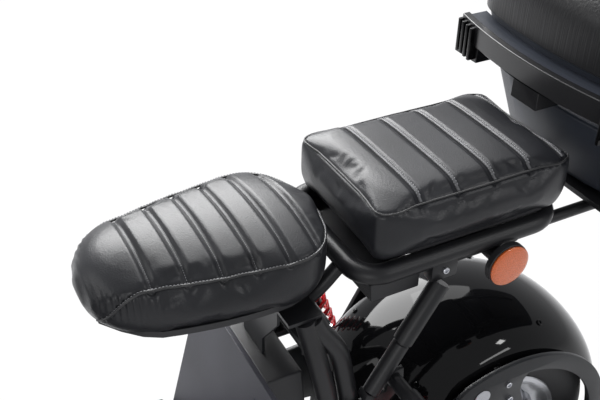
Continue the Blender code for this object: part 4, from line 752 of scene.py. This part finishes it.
round_back = []
for step in range(1, 40):
    angle = pi * step / 40
    origin = side_place(SADDLE_TURN, SADDLE_SEAM - 0.004 * sin(angle)**2)
    round_back.append(on_side(tree, origin, Vector((cos(angle), sin(angle), 0))))
saddle_seam = [*saddle_seam_side(1), *round_back, *reversed(saddle_seam_side(-1))]
inward_seams(saddle, [saddle_seam], 0.0022, 0.0065)
sew_channels(saddle, SADDLE_CHANNELS, 0.0052, saddle_half, SADDLE_SEAM - 0.02)


def pucker(pad, corner_a, reach, size):
    """Small folds in the side panel, across the seam near the nose."""
    normals = [vert.normal.copy() for vert in pad.data.vertices]
    for vert, normal in zip(pad.data.vertices, normals):
        a = vert.co.y - REAR_AXLE_Y
        if abs(normal.z) > 0.7 or vert.co.z > SADDLE_SEAM - 0.002:
            continue
        below = SADDLE_SEAM - 0.012 - vert.co.z
        near = exp(-((a - corner_a) / reach)**2) * exp(-(below / 0.018)**2)
        vert.co += size * near * sin(a * 950) * normal


pucker(saddle, -0.525, 0.028, 0.0011)
saddle.data.materials.append(LEATHER)
saddle.data.shade_smooth()
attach(saddle, "saddle")
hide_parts("saddle_cushion")

tree = pad_tree(saddle)
piping = bmesh.new()
add_tube(piping, saddle_seam, 0.0017, 3)
hand_over(piping, "saddle_piping", PIPING, "saddle")
thread = bmesh.new()
add_stitches(thread, [p + Vector((0, 0, 0.0026)) for p in saddle_seam])
for channel in SADDLE_CHANNELS:
    row = across_row(tree, saddle_half(channel) * 0.90, channel, 40)
    add_stitches(thread, row, lift=0.0002, length=0.0022, radius=0.00030)
hand_over(thread, "saddle_stitches", THREAD, "saddle")
print("saddle:", len(saddle.data.polygons), "faces")

# %% [markdown]
# ## Rear seat
# The passenger's cushion is a rounded block. Five channels with a double row of
# bright stitches cross it, and a seam runs all the way round its top edge.

# %% Rear seat
SEAT_FRONT, SEAT_REAR = -0.232, 0.070
SEAT_MIDDLE, SEAT_REACH = (SEAT_FRONT + SEAT_REAR) / 2, (SEAT_REAR - SEAT_FRONT) / 2
SEAT_ROWS = [(-0.232, 0.096), (-0.224, 0.104), (-0.205, 0.1085), (-0.08, 0.1095), (0.045, 0.1075),
             (0.060, 0.102), (0.070, 0.094)]
SEAT_CHANNELS = [-0.170 + 0.0554 * index for index in range(5)]
SEAT_LOW, SEAT_SEAM = 0.6690, 0.7420


def seat_half(a):
    """Half the seat's width at a."""
    return row_value(SEAT_ROWS, a)


def seat_top(a, part):
    """The top's height: nearly flat, and lower at all its edges."""
    end = abs((a - SEAT_MIDDLE) / SEAT_REACH)
    return SEAT_SEAM + 0.002 + 0.0085 * (1 - part**4) * (1 - end**8)


seat = pressed_pad("rear_seat_pad", SEAT_FRONT, SEAT_REAR, seat_half, SEAT_LOW, seat_top, 0.055, cuts=34)
blown_up(seat, 0.0045)
tree = pad_tree(seat)
seat_seam = []
for step in range(160):
    angle = tau * step / 160
    way = Vector((cos(angle), 1.35 * sin(angle), 0)).normalized()
    seat_seam.append(on_side(tree, side_place(SEAT_MIDDLE, SEAT_SEAM), way))
inward_seams(seat, [seat_seam], 0.0020, 0.0060)
sew_channels(seat, SEAT_CHANNELS, 0.0036, seat_half, SEAT_SEAM - 0.01)
seat.data.materials.append(LEATHER)
seat.data.shade_smooth()
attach(seat, "scooter")
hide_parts("rear_seat_cushion")

tree = pad_tree(seat)
piping = bmesh.new()
add_tube(piping, seat_seam, 0.0013, 3, closed=True)
hand_over(piping, "rear_seat_piping", PIPING, "scooter")
thread, welts = bmesh.new(), bmesh.new()
for channel in SEAT_CHANNELS:
    half = seat_half(channel) * 0.88
    add_tube(welts, across_row(tree, half, channel + 0.0024, 48), 0.0021, 3)
    for off in (0.0010, 0.0038):
        row = across_row(tree, half, channel + off, 48)
        add_stitches(thread, row, lift=0.0016, length=0.0030, radius=0.00062)
hand_over(welts, "rear_seat_welts", WELT, "scooter")
hand_over(thread, "rear_seat_stitches", THREAD, "scooter")
print("rear seat:", len(seat.data.polygons), "faces")

# %% [markdown]
# ## Frame tubes
# The frame is welded from bent steel tube. In the construction its tubes have few
# sides, which shows on a long bend, so here each is swept again along the same route
# with a finer round, and the brackets and welds are added where the tubes meet.

# %% Rails, risers and the seat loop
RAIL_HALF, RAIL_Z, RAIL_R, DECK_RAIL_Z = 0.100, 0.652, 0.0135, 0.235
RISER = ((-0.254, 0.4203), (-0.256, 0.446), (-0.2655, 0.500), (-0.2775, 0.550), (-0.3029, 0.594),
         (-0.3150, 0.6187))
NECK = ((-0.246, 0.646), (-0.258, 0.634), (-0.276, 0.617), (-0.300, 0.600))
NECK_HALF = 0.050
SHOCK_HEAD, SHOCK_FOOT = (-0.198, 0.478), (-0.125, 0.262)
SHOCK_BRACKET = [(-0.274, 0.425), (-0.274, 0.452), (-0.246, 0.458), (-0.209, 0.460), (-0.206, 0.492),
                 (-0.184, 0.492), (-0.182, 0.462), (-0.215, 0.425)]


def side_run(places, x):
    """A smooth run through side-view places, at one distance from the middle."""
    return smooth_run([side_place(a, z, x) for a, z in places])


def corner_points(centre, radius, start, end):
    """A corner of the seat loop, seen from above."""
    return [Vector((x, aft(a), RAIL_Z)) for x, a in arc_places(centre, radius, start, end, 12)]


def add_cross_tube(shape, a, z, half, radius):
    """Adds a straight tube from side to side."""
    add_tube(shape, [side_place(a, z, -half), side_place(a, z, half)], radius, 5)


def add_weld(shape, centre, way, radius, bead=0.0022):
    """A weld: a ring of small overlapping ripples round a joint."""
    way = Vector(way).normalized()
    side = way.orthogonal().normalized()
    other = way.cross(side)
    ring = [Vector(centre) + (radius + 0.0006 * cos(9 * t)) * (cos(t) * side + sin(t) * other)
            for t in [tau * k / 54 for k in range(54)]]
    add_tube(shape, ring, bead, 2, closed=True)


left_half = [*corner_points((0.055, 0.015), 0.045, 90, 0), *corner_points((0.065, -0.211), 0.035, 0, -90)]
loop_run = [*left_half, *[Vector((-p.x, p.y, p.z)) for p in reversed(left_half)]]
frame_top = bmesh.new()
add_tube(frame_top, loop_run, RAIL_R, 7, closed=True)
for side in (-1, 1):
    add_tube(frame_top, side_run(RISER, side * RAIL_HALF), RAIL_R, 7)
    add_tube(frame_top, side_run(NECK, side * NECK_HALF), 0.010, 5)
    add_weld(frame_top, side_place(-0.297, 0.603, side * NECK_HALF), (0, 1, 0.9), 0.0105)
    add_block(frame_top, (0.020, 0.040, 0.030), side_place(-0.131, 0.636, side * 0.103), 0.003)
    add_plate(frame_top, [SHOCK_BRACKET], *sorted((side * 0.112, side * 0.1195)))
    add_peg(frame_top, 0.036, 0.062, side_place(*SHOCK_HEAD, side * 0.117), (side, 0, 0))
    add_block(frame_top, (0.020, 0.020, 0.012), side_place(-0.2387, 0.4672, side * 0.119), 0.002,
              Matrix.Rotation(radians(-34), 4, "X"))
add_cross_tube(frame_top, -0.300, 0.600, RAIL_HALF, 0.011)
add_cross_tube(frame_top, -0.045, RAIL_Z, RAIL_HALF, 0.009)
hand_over(frame_top, "seat_loop_tubes", POWDER, "scooter", ["seat_loop"])
print("seat loop: tube of", round(2000 * RAIL_R), "mm")

# %% [markdown]
# Below the seats the frame is a head tube, one bent spine, two deck rails that rise at
# the rear into posts, and cross tubes. They are swept and welded in the same way.

# %% Lower frame
PIVOT = (-0.340, 0.285)
STEER_FOOT = Vector((0, -0.758536, 0.205015))
STEER_UP = Vector((0, 0.438371, 0.898794))
STEER_AHEAD = Vector((0, -0.898794, 0.438371))
POST = ((-0.915, DECK_RAIL_Z), (-0.700, DECK_RAIL_Z), (-0.500, DECK_RAIL_Z), (-0.370, DECK_RAIL_Z),
        (-0.310, 0.257), (-0.284, 0.315), (-0.279, 0.390), (-0.289, 0.463), (-0.305, 0.540),
        (-0.3195, 0.600), (-0.325, 0.6215))
HANGER = [(-0.372, DECK_RAIL_Z), (-0.315, DECK_RAIL_Z), (-0.318, 0.300), (-0.340, 0.309), (-0.364, 0.296)]
HEAD_TUBE = [(0.430, 0.0160), (0.430, 0.0275), (0.4315, 0.029), (0.446, 0.029), (0.448, 0.0275),
             (0.562, 0.0275), (0.564, 0.029), (0.5785, 0.029), (0.580, 0.0275), (0.580, 0.0160)]
PIVOT_BOSS = [(0.094, 0.0105), (0.094, 0.0175), (0.0955, 0.019), (0.1225, 0.019), (0.124, 0.0175),
              (0.124, 0.0105)]
CROSS_TUBES = ((-0.895, DECK_RAIL_Z, 0.0125), (-0.835, DECK_RAIL_Z, 0.0135), (-0.402, DECK_RAIL_Z, 0.0125),
               (-0.284, 0.345, 0.0110), (-0.3085, 0.555, 0.0110))


def on_steer(up, ahead=0.0, x=0.0):
    """A point measured along the steering axis, ahead of it and to the left."""
    return STEER_FOOT + up * STEER_UP + ahead * STEER_AHEAD + Vector((x, 0, 0))


lower = bmesh.new()
spine = smooth_run([on_steer(0.505, -0.012), side_place(-0.900, 0.560), side_place(-0.860, 0.430),
                    side_place(-0.850, 0.320), side_place(-0.835, DECK_RAIL_Z)])
add_tube(lower, spine, 0.024, 7)
add_ring(lower, HEAD_TUBE, STEER_FOOT, STEER_UP, 40)
add_weld(lower, on_steer(0.497, -0.030), (0, -0.6, -0.8), 0.0245, 0.003)
for side in (-1, 1):
    add_tube(lower, side_run(POST, side * RAIL_HALF), 0.014, 7)
    add_plate(lower, [HANGER], *sorted((side * 0.099, side * 0.107)))
    add_ring(lower, PIVOT_BOSS, side_place(*PIVOT), (side, 0, 0))
    add_block(lower, (0.028, 0.048, 0.012), side_place(-0.262, 0.414, side * RAIL_HALF), 0.002)
for a, z, radius in CROSS_TUBES:
    add_cross_tube(lower, a, z, RAIL_HALF, radius)
    for side in (-1, 1):
        add_weld(lower, side_place(a, z, side * 0.0862), (1, 0, 0), radius + 0.0005, 0.0018)
hand_over(lower, "main_frame_tubes", POWDER, "scooter", ["main_frame"])
print("lower frame: head tube, spine, two rails and", len(CROSS_TUBES), "cross tubes")

# %% [markdown]
# ## Braces
# A short strut runs from the shock absorber's bracket up to the rail on each side. Its
# upper part is sleeved: the sleeve ends in a square step, with a thin dark joint.

# %% Braces
SLEEVE = 0.095
for side, word in SIDES:
    foot = side_place(-0.2350, 0.4725, side * 0.120)
    top = side_place(-0.1355, 0.618, side * 0.112)
    length = (top - foot).length
    strut = bmesh.new()
    add_drum(strut, [(0, 0.0105), (0.0012, 0.0118), (length - 0.098, 0.0118), (length - 0.0965, 0.0104),
                     (length - SLEEVE, 0.0104), (length - 0.0945, 0.0128), (length - 0.0935, 0.0136),
                     (length - 0.002, 0.0136), (length, 0.0130)], foot, (top - foot).normalized(), 36)
    hand_over(strut, f"brace_tube_{word}", POWDER, "scooter", [f"brace_{word}"])
    bolts = bmesh.new()
    add_bolt(bolts, side_place(-0.131, 0.6365, side * 0.1128), (side, 0, 0), 0.0048, 0.0036)
    for a, z in ((-0.262, 0.4385), (-0.222, 0.4430)):
        add_bolt(bolts, side_place(a, z, side * 0.1192), (side, 0, 0), 0.0042, 0.0034)
    hand_over(bolts, f"brace_bolts_{word}", STEEL, "scooter")
print("braces: sleeved for", round(1000 * SLEEVE), "mm")

# %% [markdown]
# ## Fenders
# Each fender is a shell pressed over the wheel. Its section is spun round the axle and
# then given the thickness of its sheet, with a rolled bead along each edge. The
# gloss paint shows every flaw, so the spin has many steps.

# %% Fenders
AXLE_Z = 0.218167
FRONT_AXLE = Vector((0, -0.7855, AXLE_Z))
REAR_AXLE = Vector((0, REAR_AXLE_Y, AXLE_Z))
FENDER_R, FENDER_HALF, FENDER_DROP, FENDER_T = 0.252, 0.1225, 0.060, 0.003
FENDER_CENTRE = REAR_AXLE + Vector((0, 0.004, -0.001))
FENDER_STEPS = 72
TAB_REACH = 0.1317


def turned_by(degrees):
    """A turn about the axle's direction."""
    return Matrix.Rotation(radians(degrees), 4, "X")


def fender(name, centre, start, end, body, node, tab_angles):
    """A spun shell with rolled edges, and a tab at each side and angle that carries it."""
    shape = bmesh.new()
    section = []
    for step in range(-18, 19):
        bend = radians(90) * step / 18
        section.append((FENDER_HALF * sin(bend), FENDER_R - FENDER_DROP * (1 - cos(bend))))
    begin = turned_by(start)
    points = [shape.verts.new(centre + begin @ Vector((along, radius, 0))) for along, radius in section]
    edges = [shape.edges.new(pair) for pair in zip(points, points[1:])]
    bmesh.ops.spin(shape, geom=[*points, *edges], cent=centre, axis=(1, 0, 0),
                   angle=radians(end - start), steps=FENDER_STEPS)
    bmesh.ops.remove_doubles(shape, verts=shape.verts, dist=MERGED)
    bmesh.ops.recalc_face_normals(shape, faces=shape.faces)
    middle = shape.faces[:][len(shape.faces) // 2]
    if middle.normal.dot(middle.calc_center_median() - centre) < 0:
        bmesh.ops.reverse_faces(shape, faces=shape.faces)
    bmesh.ops.solidify(shape, geom=shape.faces[:], thickness=FENDER_T)
    for side in (-1, 1):
        rim = Vector((side * (FENDER_HALF - 0.001), FENDER_R - FENDER_DROP + 0.0015, 0))
        turns = [turned_by(start + (end - start) * k / FENDER_STEPS) for k in range(FENDER_STEPS + 1)]
        add_tube(shape, [centre + turn @ rim for turn in turns], 0.0026, 3)
    inner = FENDER_HALF - 0.0035
    for angle in tab_angles:
        turn = turned_by(angle)
        place = centre + turn @ Vector((0, FENDER_R - FENDER_DROP + 0.006, 0))
        for side in (-1, 1):
            add_block(shape, (TAB_REACH - inner, 0.016, 0.026),
                      place + Vector((side * (inner + TAB_REACH) / 2, 0, 0)), 0.001, turn)
    return hand_over(shape, name, GLOSS, body, [node], 50)


fender("rear_fender_shell", FENDER_CENTRE, 8, 158, "swing_arm", "rear_fender", (52, 98))
fender("front_fender_shell", FRONT_AXLE, 28, 148, "fork_travel", "front_fender", (64,))
fixings = bmesh.new()
for side in (-1, 1):
    for angle in (70, 126):
        add_bolt(fixings, FENDER_CENTRE + turned_by(angle) @ Vector((side * 0.088, 0.2335, 0)),
                 turned_by(angle) @ Vector((side * 0.55, 0.83, 0)), 0.0045, 0.0026)
hand_over(fixings, "rear_fender_fixings", GLOSS, "swing_arm")
print("fenders: sheet of", round(1000 * FENDER_T), "mm")

# %% [markdown]
# ## Swing arm plates
# Two flat plates carry the rear axle. Behind the shock absorber each has a closed
# arch over the rim. It could be cut with a boolean, but a filled flat curve gives the
# outline, the window and the small edge bevel in one go.

# %% Swing arm plates
ARCH_R, ARCH_INNER_R, BOSS_R = 0.215, 0.187, 0.090
ARM_INSIDE, ARM_OUTSIDE = 0.132, 0.140
ARM_BOLTS = ((-0.0088, 0.3976, 0.0050), (-0.0009, 0.3643, 0.0050), (-0.170, 0.330, 0.0052),
             (-0.205, 0.305, 0.0052))
arm_outline = [*arc_places((0, AXLE_Z), ARCH_R, -12, 112, 44), (-0.0925, 0.4080), (-0.0985, 0.4000),
               (-0.126, 0.350), (-0.138, 0.3365), (-0.165, 0.326), (-0.250, 0.321),
               *arc_places(PIVOT, 0.040, 78, 262, 24), (-0.200, 0.196), (-0.080, 0.176),
               (0.060, 0.174), (0.150, 0.176)]
arm_window = [*arc_places((0, AXLE_Z), ARCH_INNER_R, 14, 81, 32), (0.0215, 0.392), (0.0195, 0.380),
              (0.0200, 0.370), (0.036, 0.325), *arc_places((0, AXLE_Z), BOSS_R, 62, 10, 20)]
for side, word in SIDES:
    arm = bmesh.new()
    add_plate(arm, [arm_outline, arm_window], *sorted((side * ARM_INSIDE, side * ARM_OUTSIDE)), edge=0.0016)
    add_peg(arm, 0.017, 0.044, side_place(*SHOCK_FOOT, side * 0.138), (side, 0, 0))
    hand_over(arm, f"swing_arm_{word}", GREY_POWDER, "swing_arm", [f"swing_plate_{word}"])
    bolts = bmesh.new()
    for a, z, size in ARM_BOLTS:
        add_bolt(bolts, side_place(a, z, side * 0.1398), (side, 0, 0), size, 0.0042)
    add_drum(bolts, [(0, 0.013), (0.0012, 0.014), (0.0022, 0.0135)],
             side_place(-0.0545, 0.3907, side * 0.1397), (side, 0, 0))
    hand_over(bolts, f"swing_arm_bolts_{word}", STEEL, "swing_arm")
print("swing arm: plates 8 mm thick,", round(2000 * ARM_OUTSIDE), "mm apart outside")

# %% [markdown]
# ## Tyres and wheels
# A wide tyre has a round shoulder and a shallow tread. Its section is spun finely
# round the axle, and the tread is cut by sinking every vertex that falls in a slanted
# groove. The wheels keep the construction's barrel; turned covers with curved vanes
# close them on both sides.

# %% Tyres
TYRE_SIDE = [(0.0, 0.2180), (0.022, 0.2180), (0.044, 0.2177), (0.062, 0.2170), (0.078, 0.2145),
             (0.092, 0.2092), (0.1035, 0.2000), (0.1105, 0.1880), (0.1122, 0.1760), (0.1105, 0.1640),
             (0.1070, 0.1530), (0.1020, 0.1430), (0.1000, 0.1402), (0.0880, 0.1300), (0.0750, 0.1420)]
TREAD_INNER, TREAD_OUTER, TREAD_LOW_R = 0.010, 0.096, 0.200
TREAD_DEPTH, TREAD_PART, TREAD_SLANT = 0.0030, 0.20, 7.0
TREAD_PITCHES = 30


def tread_sunk(vert, centre):
    """How deep the tread is cut at a vertex: slanted grooves off a plain middle rib."""
    out = vert.co - centre
    along = abs(out.x)
    if not TREAD_INNER < along < TREAD_OUTER or hypot(out.y, out.z) < TREAD_LOW_R:
        return 0.0
    turns = atan2(out.z, out.y) / tau * TREAD_PITCHES
    place = (turns + TREAD_SLANT * along + (0.5 if out.x > 0 else 0.0)) % 1.0
    return TREAD_DEPTH if place < TREAD_PART else 0.0


WHEELS = (("rear", REAR_AXLE), ("front", FRONT_AXLE))
side_profile = [(point.x, point.y) for point in smooth_run([(x, r, 0) for x, r in TYRE_SIDE], 2)]
tyre_profile = [*side_profile, *[(-x, r) for x, r in reversed(side_profile[1:])]]
for name, centre in WHEELS:
    tyre = bmesh.new()
    add_ring(tyre, tyre_profile, centre, (1, 0, 0), 240)
    for vert in tyre.verts:
        sunk = tread_sunk(vert, centre)
        if sunk:
            out = Vector((0, vert.co.y - centre.y, vert.co.z - centre.z))
            vert.co -= sunk * out.normalized()
    hand_over(tyre, f"{name}_tyre_form", TYRE, f"{name}_wheel", [f"{name}_tyre"], 30)
print("tyres:", TREAD_PITCHES, "tread blocks a side")

# %% [markdown]
# A turned cover closes each side of a wheel. Curved vanes lie on it like those of a
# fan, and a ring dresses the edge of the rim.

# %% Wheel covers
COVER = [(0.0600, 0.0275), (0.0640, 0.0275), (0.0660, 0.0300), (0.0680, 0.0420), (0.0760, 0.0480),
         (0.0790, 0.0600), (0.0800, 0.0850), (0.0775, 0.1020), (0.0720, 0.1095), (0.0640, 0.1115),
         (0.0600, 0.1115)]
RIM_RING = [(0.0955, 0.1385), (0.1035, 0.1425), (0.1048, 0.1405), (0.1045, 0.1340), (0.0955, 0.1300)]
VANES = 18


def vane_run(vane, side, centre):
    """One vane's line: it sweeps back as it goes outward, and dips at its tip."""
    run = []
    for step in range(11):
        part = step / 10
        radius = 0.052 + 0.052 * part
        angle = tau * vane / VANES + side * 0.55 * part**1.4
        rise = 0.0790 - 0.0040 * max(0.0, (radius - 0.090) / 0.014)**2
        run.append(centre + Vector((side * rise, radius * cos(angle), radius * sin(angle))))
    return run


for name, centre in WHEELS:
    covers = bmesh.new()
    for side in (-1, 1):
        add_ring(covers, COVER, centre, (side, 0, 0), 72)
        for vane in range(VANES):
            add_tube(covers, vane_run(vane, side, centre), 0.0030, 3)
        add_ring(covers, RIM_RING, centre, (side, 0, 0), 96)
    hand_over(covers, f"{name}_wheel_covers", SILVER, f"{name}_wheel")
print("wheel covers:", VANES, "vanes each")

# %% [markdown]
# ## Reflectors and headlight
# A side reflector is a black cup on a stem with a moulded amber lens set into it. The
# headlight gets a bright bezel round its glass.

# %% Reflectors and headlight bezel
CUP = [(0, 0.0115), (0.0005, 0.0120), (0.0395, 0.0120), (0.0395, 0.0296), (0.0405, 0.0310),
       (0.0490, 0.0310), (0.0500, 0.0302), (0.0500, 0.0285), (0.0480, 0.0280)]
CUP_LENS = [(0.0482, NEAR_AXIS), (0.0482, 0.0278), (0.0515, 0.0300), (0.0530, 0.0300), (0.0542, 0.0285),
            (0.0550, 0.0250), (0.0556, 0.0150), (0.0560, NEAR_AXIS)]
BEZEL = [(0.0600, 0.0752), (0.0700, 0.0765), (0.0735, 0.0760), (0.0752, 0.0738), (0.0742, 0.0715),
         (0.0690, 0.0711)]
for side, word in SIDES:
    foot = side_place(-0.038, 0.6200, side * 0.0763)
    cup = bmesh.new()
    add_drum(cup, CUP, foot, (side, 0, 0), 48)
    hand_over(cup, f"reflector_cup_{word}", PLASTIC, "scooter", [f"side_reflector_{word}"])
    lens = bmesh.new()
    add_turned(lens, CUP_LENS, foot, (side, 0, 0), 64)
    hand_over(lens, f"reflector_lens_{word}", AMBER, "scooter")
bezel = bmesh.new()
add_ring(bezel, BEZEL, on_steer(0.520, 0.075), (0, -1, 0), 64)
hand_over(bezel, "headlight_bezel", CHROME, "steering")
print("reflectors and bezel made")

# %% [markdown]
# ## Top box
# The box is a tapered shell under a crowned lid. Both are lofted through the same
# rounded plan, drawn in by a different inset at each height, outside and inside. A
# shallow groove runs round the shell, and the lid has fine moulded ribs.

# %% Box shell and lid
BOX_HALF, BOX_FRONT, BOX_REAR = 0.205, 0.116, 0.536
BOX_CORNER, BOX_BOW = 0.070, 0.030
GROOVE = ((0.7575, 0.0), (0.7590, 0.0010), (0.7600, 0.0030), (0.7625, 0.0030), (0.7635, 0.0010),
          (0.7650, 0.0))
LID_CROWN = [(0.0, 0.853, 0), (0.0, 0.883, 0), (0.002, 0.905, 0), (0.0085, 0.922, 0), (0.020, 0.9365, 0),
             (0.040, 0.9525, 0), (0.065, 0.9620, 0)]


def bow(x, half):
    """How far the front stands out at x."""
    return BOX_BOW * (1 - (x / half)**2)


def box_plan(inset, steps=14, straight=24):
    """The box's outline at an inset, with its front bowed forward."""
    half, front, rear = BOX_HALF - inset, BOX_FRONT + inset, BOX_REAR - inset
    corner = BOX_CORNER - min(inset, 0.040)
    side, fore, aft_end = half - corner, front + corner, rear - corner
    points = []
    corners = ((side, aft_end), (-side, aft_end), (-side, fore), (side, fore))
    for centre, start in zip(corners, (0, 90, 180, 270)):
        points += arc_places(centre, corner, start, start + 90, steps)
        if start == 180:
            points += [(-side + 2 * side * k / straight, front) for k in range(1, straight)]
    return [(x, a - bow(x, half) if a < fore else a) for x, a in points]


def lofted(name, levels, finish_of, body, node):
    """A closed piece through the box's plan at (inset, height) levels, out and back inside."""
    shape = bmesh.new()
    add_loft(shape, [[(x, aft(a), z) for x, a in box_plan(inset)] for inset, z in levels])
    return hand_over(shape, name, finish_of, body, [node], 40)


def shell_inset(z):
    """The shell's side leans out from its foot to its rim."""
    return 0.055 - 0.051 * (z - 0.652) / 0.193


shell_levels = [(0.0815, 0.6400), (0.0740, 0.6412), (0.0660, 0.6450), (0.0590, 0.6505),
                (shell_inset(0.660), 0.660), *[(shell_inset(z) + sink, z) for z, sink in GROOVE],
                (shell_inset(0.839), 0.839), (0.0040, 0.8435), (0.0050, 0.8448), (0.0070, 0.8448),
                (0.0085, 0.8430), (0.0590, 0.656), (0.0840, 0.644)]
lofted("box_shell_form", shell_levels, BOX_GREY, "scooter", "box_shell")
lid_levels = [(0.120, 0.9650), (0.080, 0.9645),
              *[(point.x, point.y) for point in reversed(smooth_run(LID_CROWN, 3))],
              (0.0, 0.8470), (0.0015, 0.8455), (0.0040, 0.8455), (0.0040, 0.908), (0.024, 0.931),
              (0.069, 0.958), (0.120, 0.9610)]
box_lid = lofted("box_lid_form", lid_levels, RIBBED, "lid", "box_lid")
print("top box:", len(box_lid.data.polygons), "lid faces")

# %% [markdown]
# The carry handle is a satin band that stands off the box's front, and a ledge of the
# shell reaches out to its upper edge. Each of its end mounts has a few fins, which
# catch narrow lines of light.

# %% Carry handle
BAND_HALF, LEDGE_LOW, LEDGE_HIGH = 0.168, 0.8215, 0.8340
FINS = 4


def box_face(x):
    """How far behind the axle the box's front stands at x."""
    return BOX_FRONT - bow(x, BOX_HALF)


refined("box_handle", 0.0034, HANDLE_BLACK)
fins = bmesh.new()
for side in (-1, 1):
    for number in range(FINS):
        x = side * (0.134 + 0.0125 * number)
        add_block(fins, (0.0055, 0.034, 0.050), side_place(box_face(x) - 0.020, 0.805, x), 0.0012)
hand_over(fins, "box_handle_fins", GLOSS, "scooter")
across = [-BAND_HALF + 2 * BAND_HALF * k / 32 for k in range(33)]
plan = [(x, box_face(x) - 0.0182) for x in across] + [(x, box_face(x) + 0.0095) for x in reversed(across)]
ledge = bmesh.new()
add_loft(ledge, [[(x, aft(a), z) for x, a in plan] for z in (LEDGE_LOW, LEDGE_HIGH)])
hand_over(ledge, "box_shell_ledge", BOX_GREY, "scooter")
print("handle:", FINS, "fins at each end")

# %% [markdown]
# ## Rubber details
# The foot mat has raised ribs along it, and the grips have rings. Both are small, but
# without them a plain block of rubber looks unfinished from near.

# %% Mat ribs and grip rings
RIBS, RINGS = 13, 13
ribs = bmesh.new()
for number in range(RIBS):
    x = -0.120 + 0.020 * number
    add_block(ribs, (0.0080, 0.325, 0.0018), side_place(-0.6285, 0.3050, x), 0.0005)
hand_over(ribs, "deck_mat_ribs", RUBBER, "scooter")
GRIP_WAY = Vector((0.867, 0.489, -0.098)).normalized()
BAR_END = on_steer(0.660, 0.012) + Vector((0.360, 0.132, 0.185))
for side, name, body in ((1, "left_grip_rings", "steering"), (-1, "throttle_rings", "throttle")):
    rings = bmesh.new()
    way = Vector((side * GRIP_WAY.x, GRIP_WAY.y, GRIP_WAY.z))
    end = Vector((side * BAR_END.x, BAR_END.y, BAR_END.z))
    for number in range(RINGS):
        at = -0.014 - 0.0075 * number
        add_ring(rings, [(at - 0.0019, 0.0172), (at - 0.0012, 0.0188), (at + 0.0012, 0.0188),
                         (at + 0.0019, 0.0172)], end, way, 28)
    hand_over(rings, name, RUBBER, body)
print("mat ribs:", RIBS, "and rings on each grip:", RINGS)

# %% [markdown]
# ## Springs
# Each red coil stands between a seat on the shock absorber's body and one on its rod.
# When the swing arm lifts, the rod slides up. The coil is a copy of the construction's
# own with the red finish, and it moves with the shock absorber.

# %% Springs
for side in ("left", "right"):
    node = NODES["spring_" + side]
    coil = bmesh.new()
    coil.from_mesh(node.data)
    coil.transform(node.matrix_world)
    spring = hand_over(coil, "spring_coil_" + side, RED, "shock_" + side, ["spring_" + side], 60)
    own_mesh(spring)

# %% [markdown]
# ## Size and end
# The dressed scooter must fill the same box as its construction, give or take what
# padding may stand proud. Only the dressed box is printed here.

# %% Size and end
low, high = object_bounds()
print("dressed size, mm:", [round(1000 * (b - a), 1) for a, b in zip(low, high)])
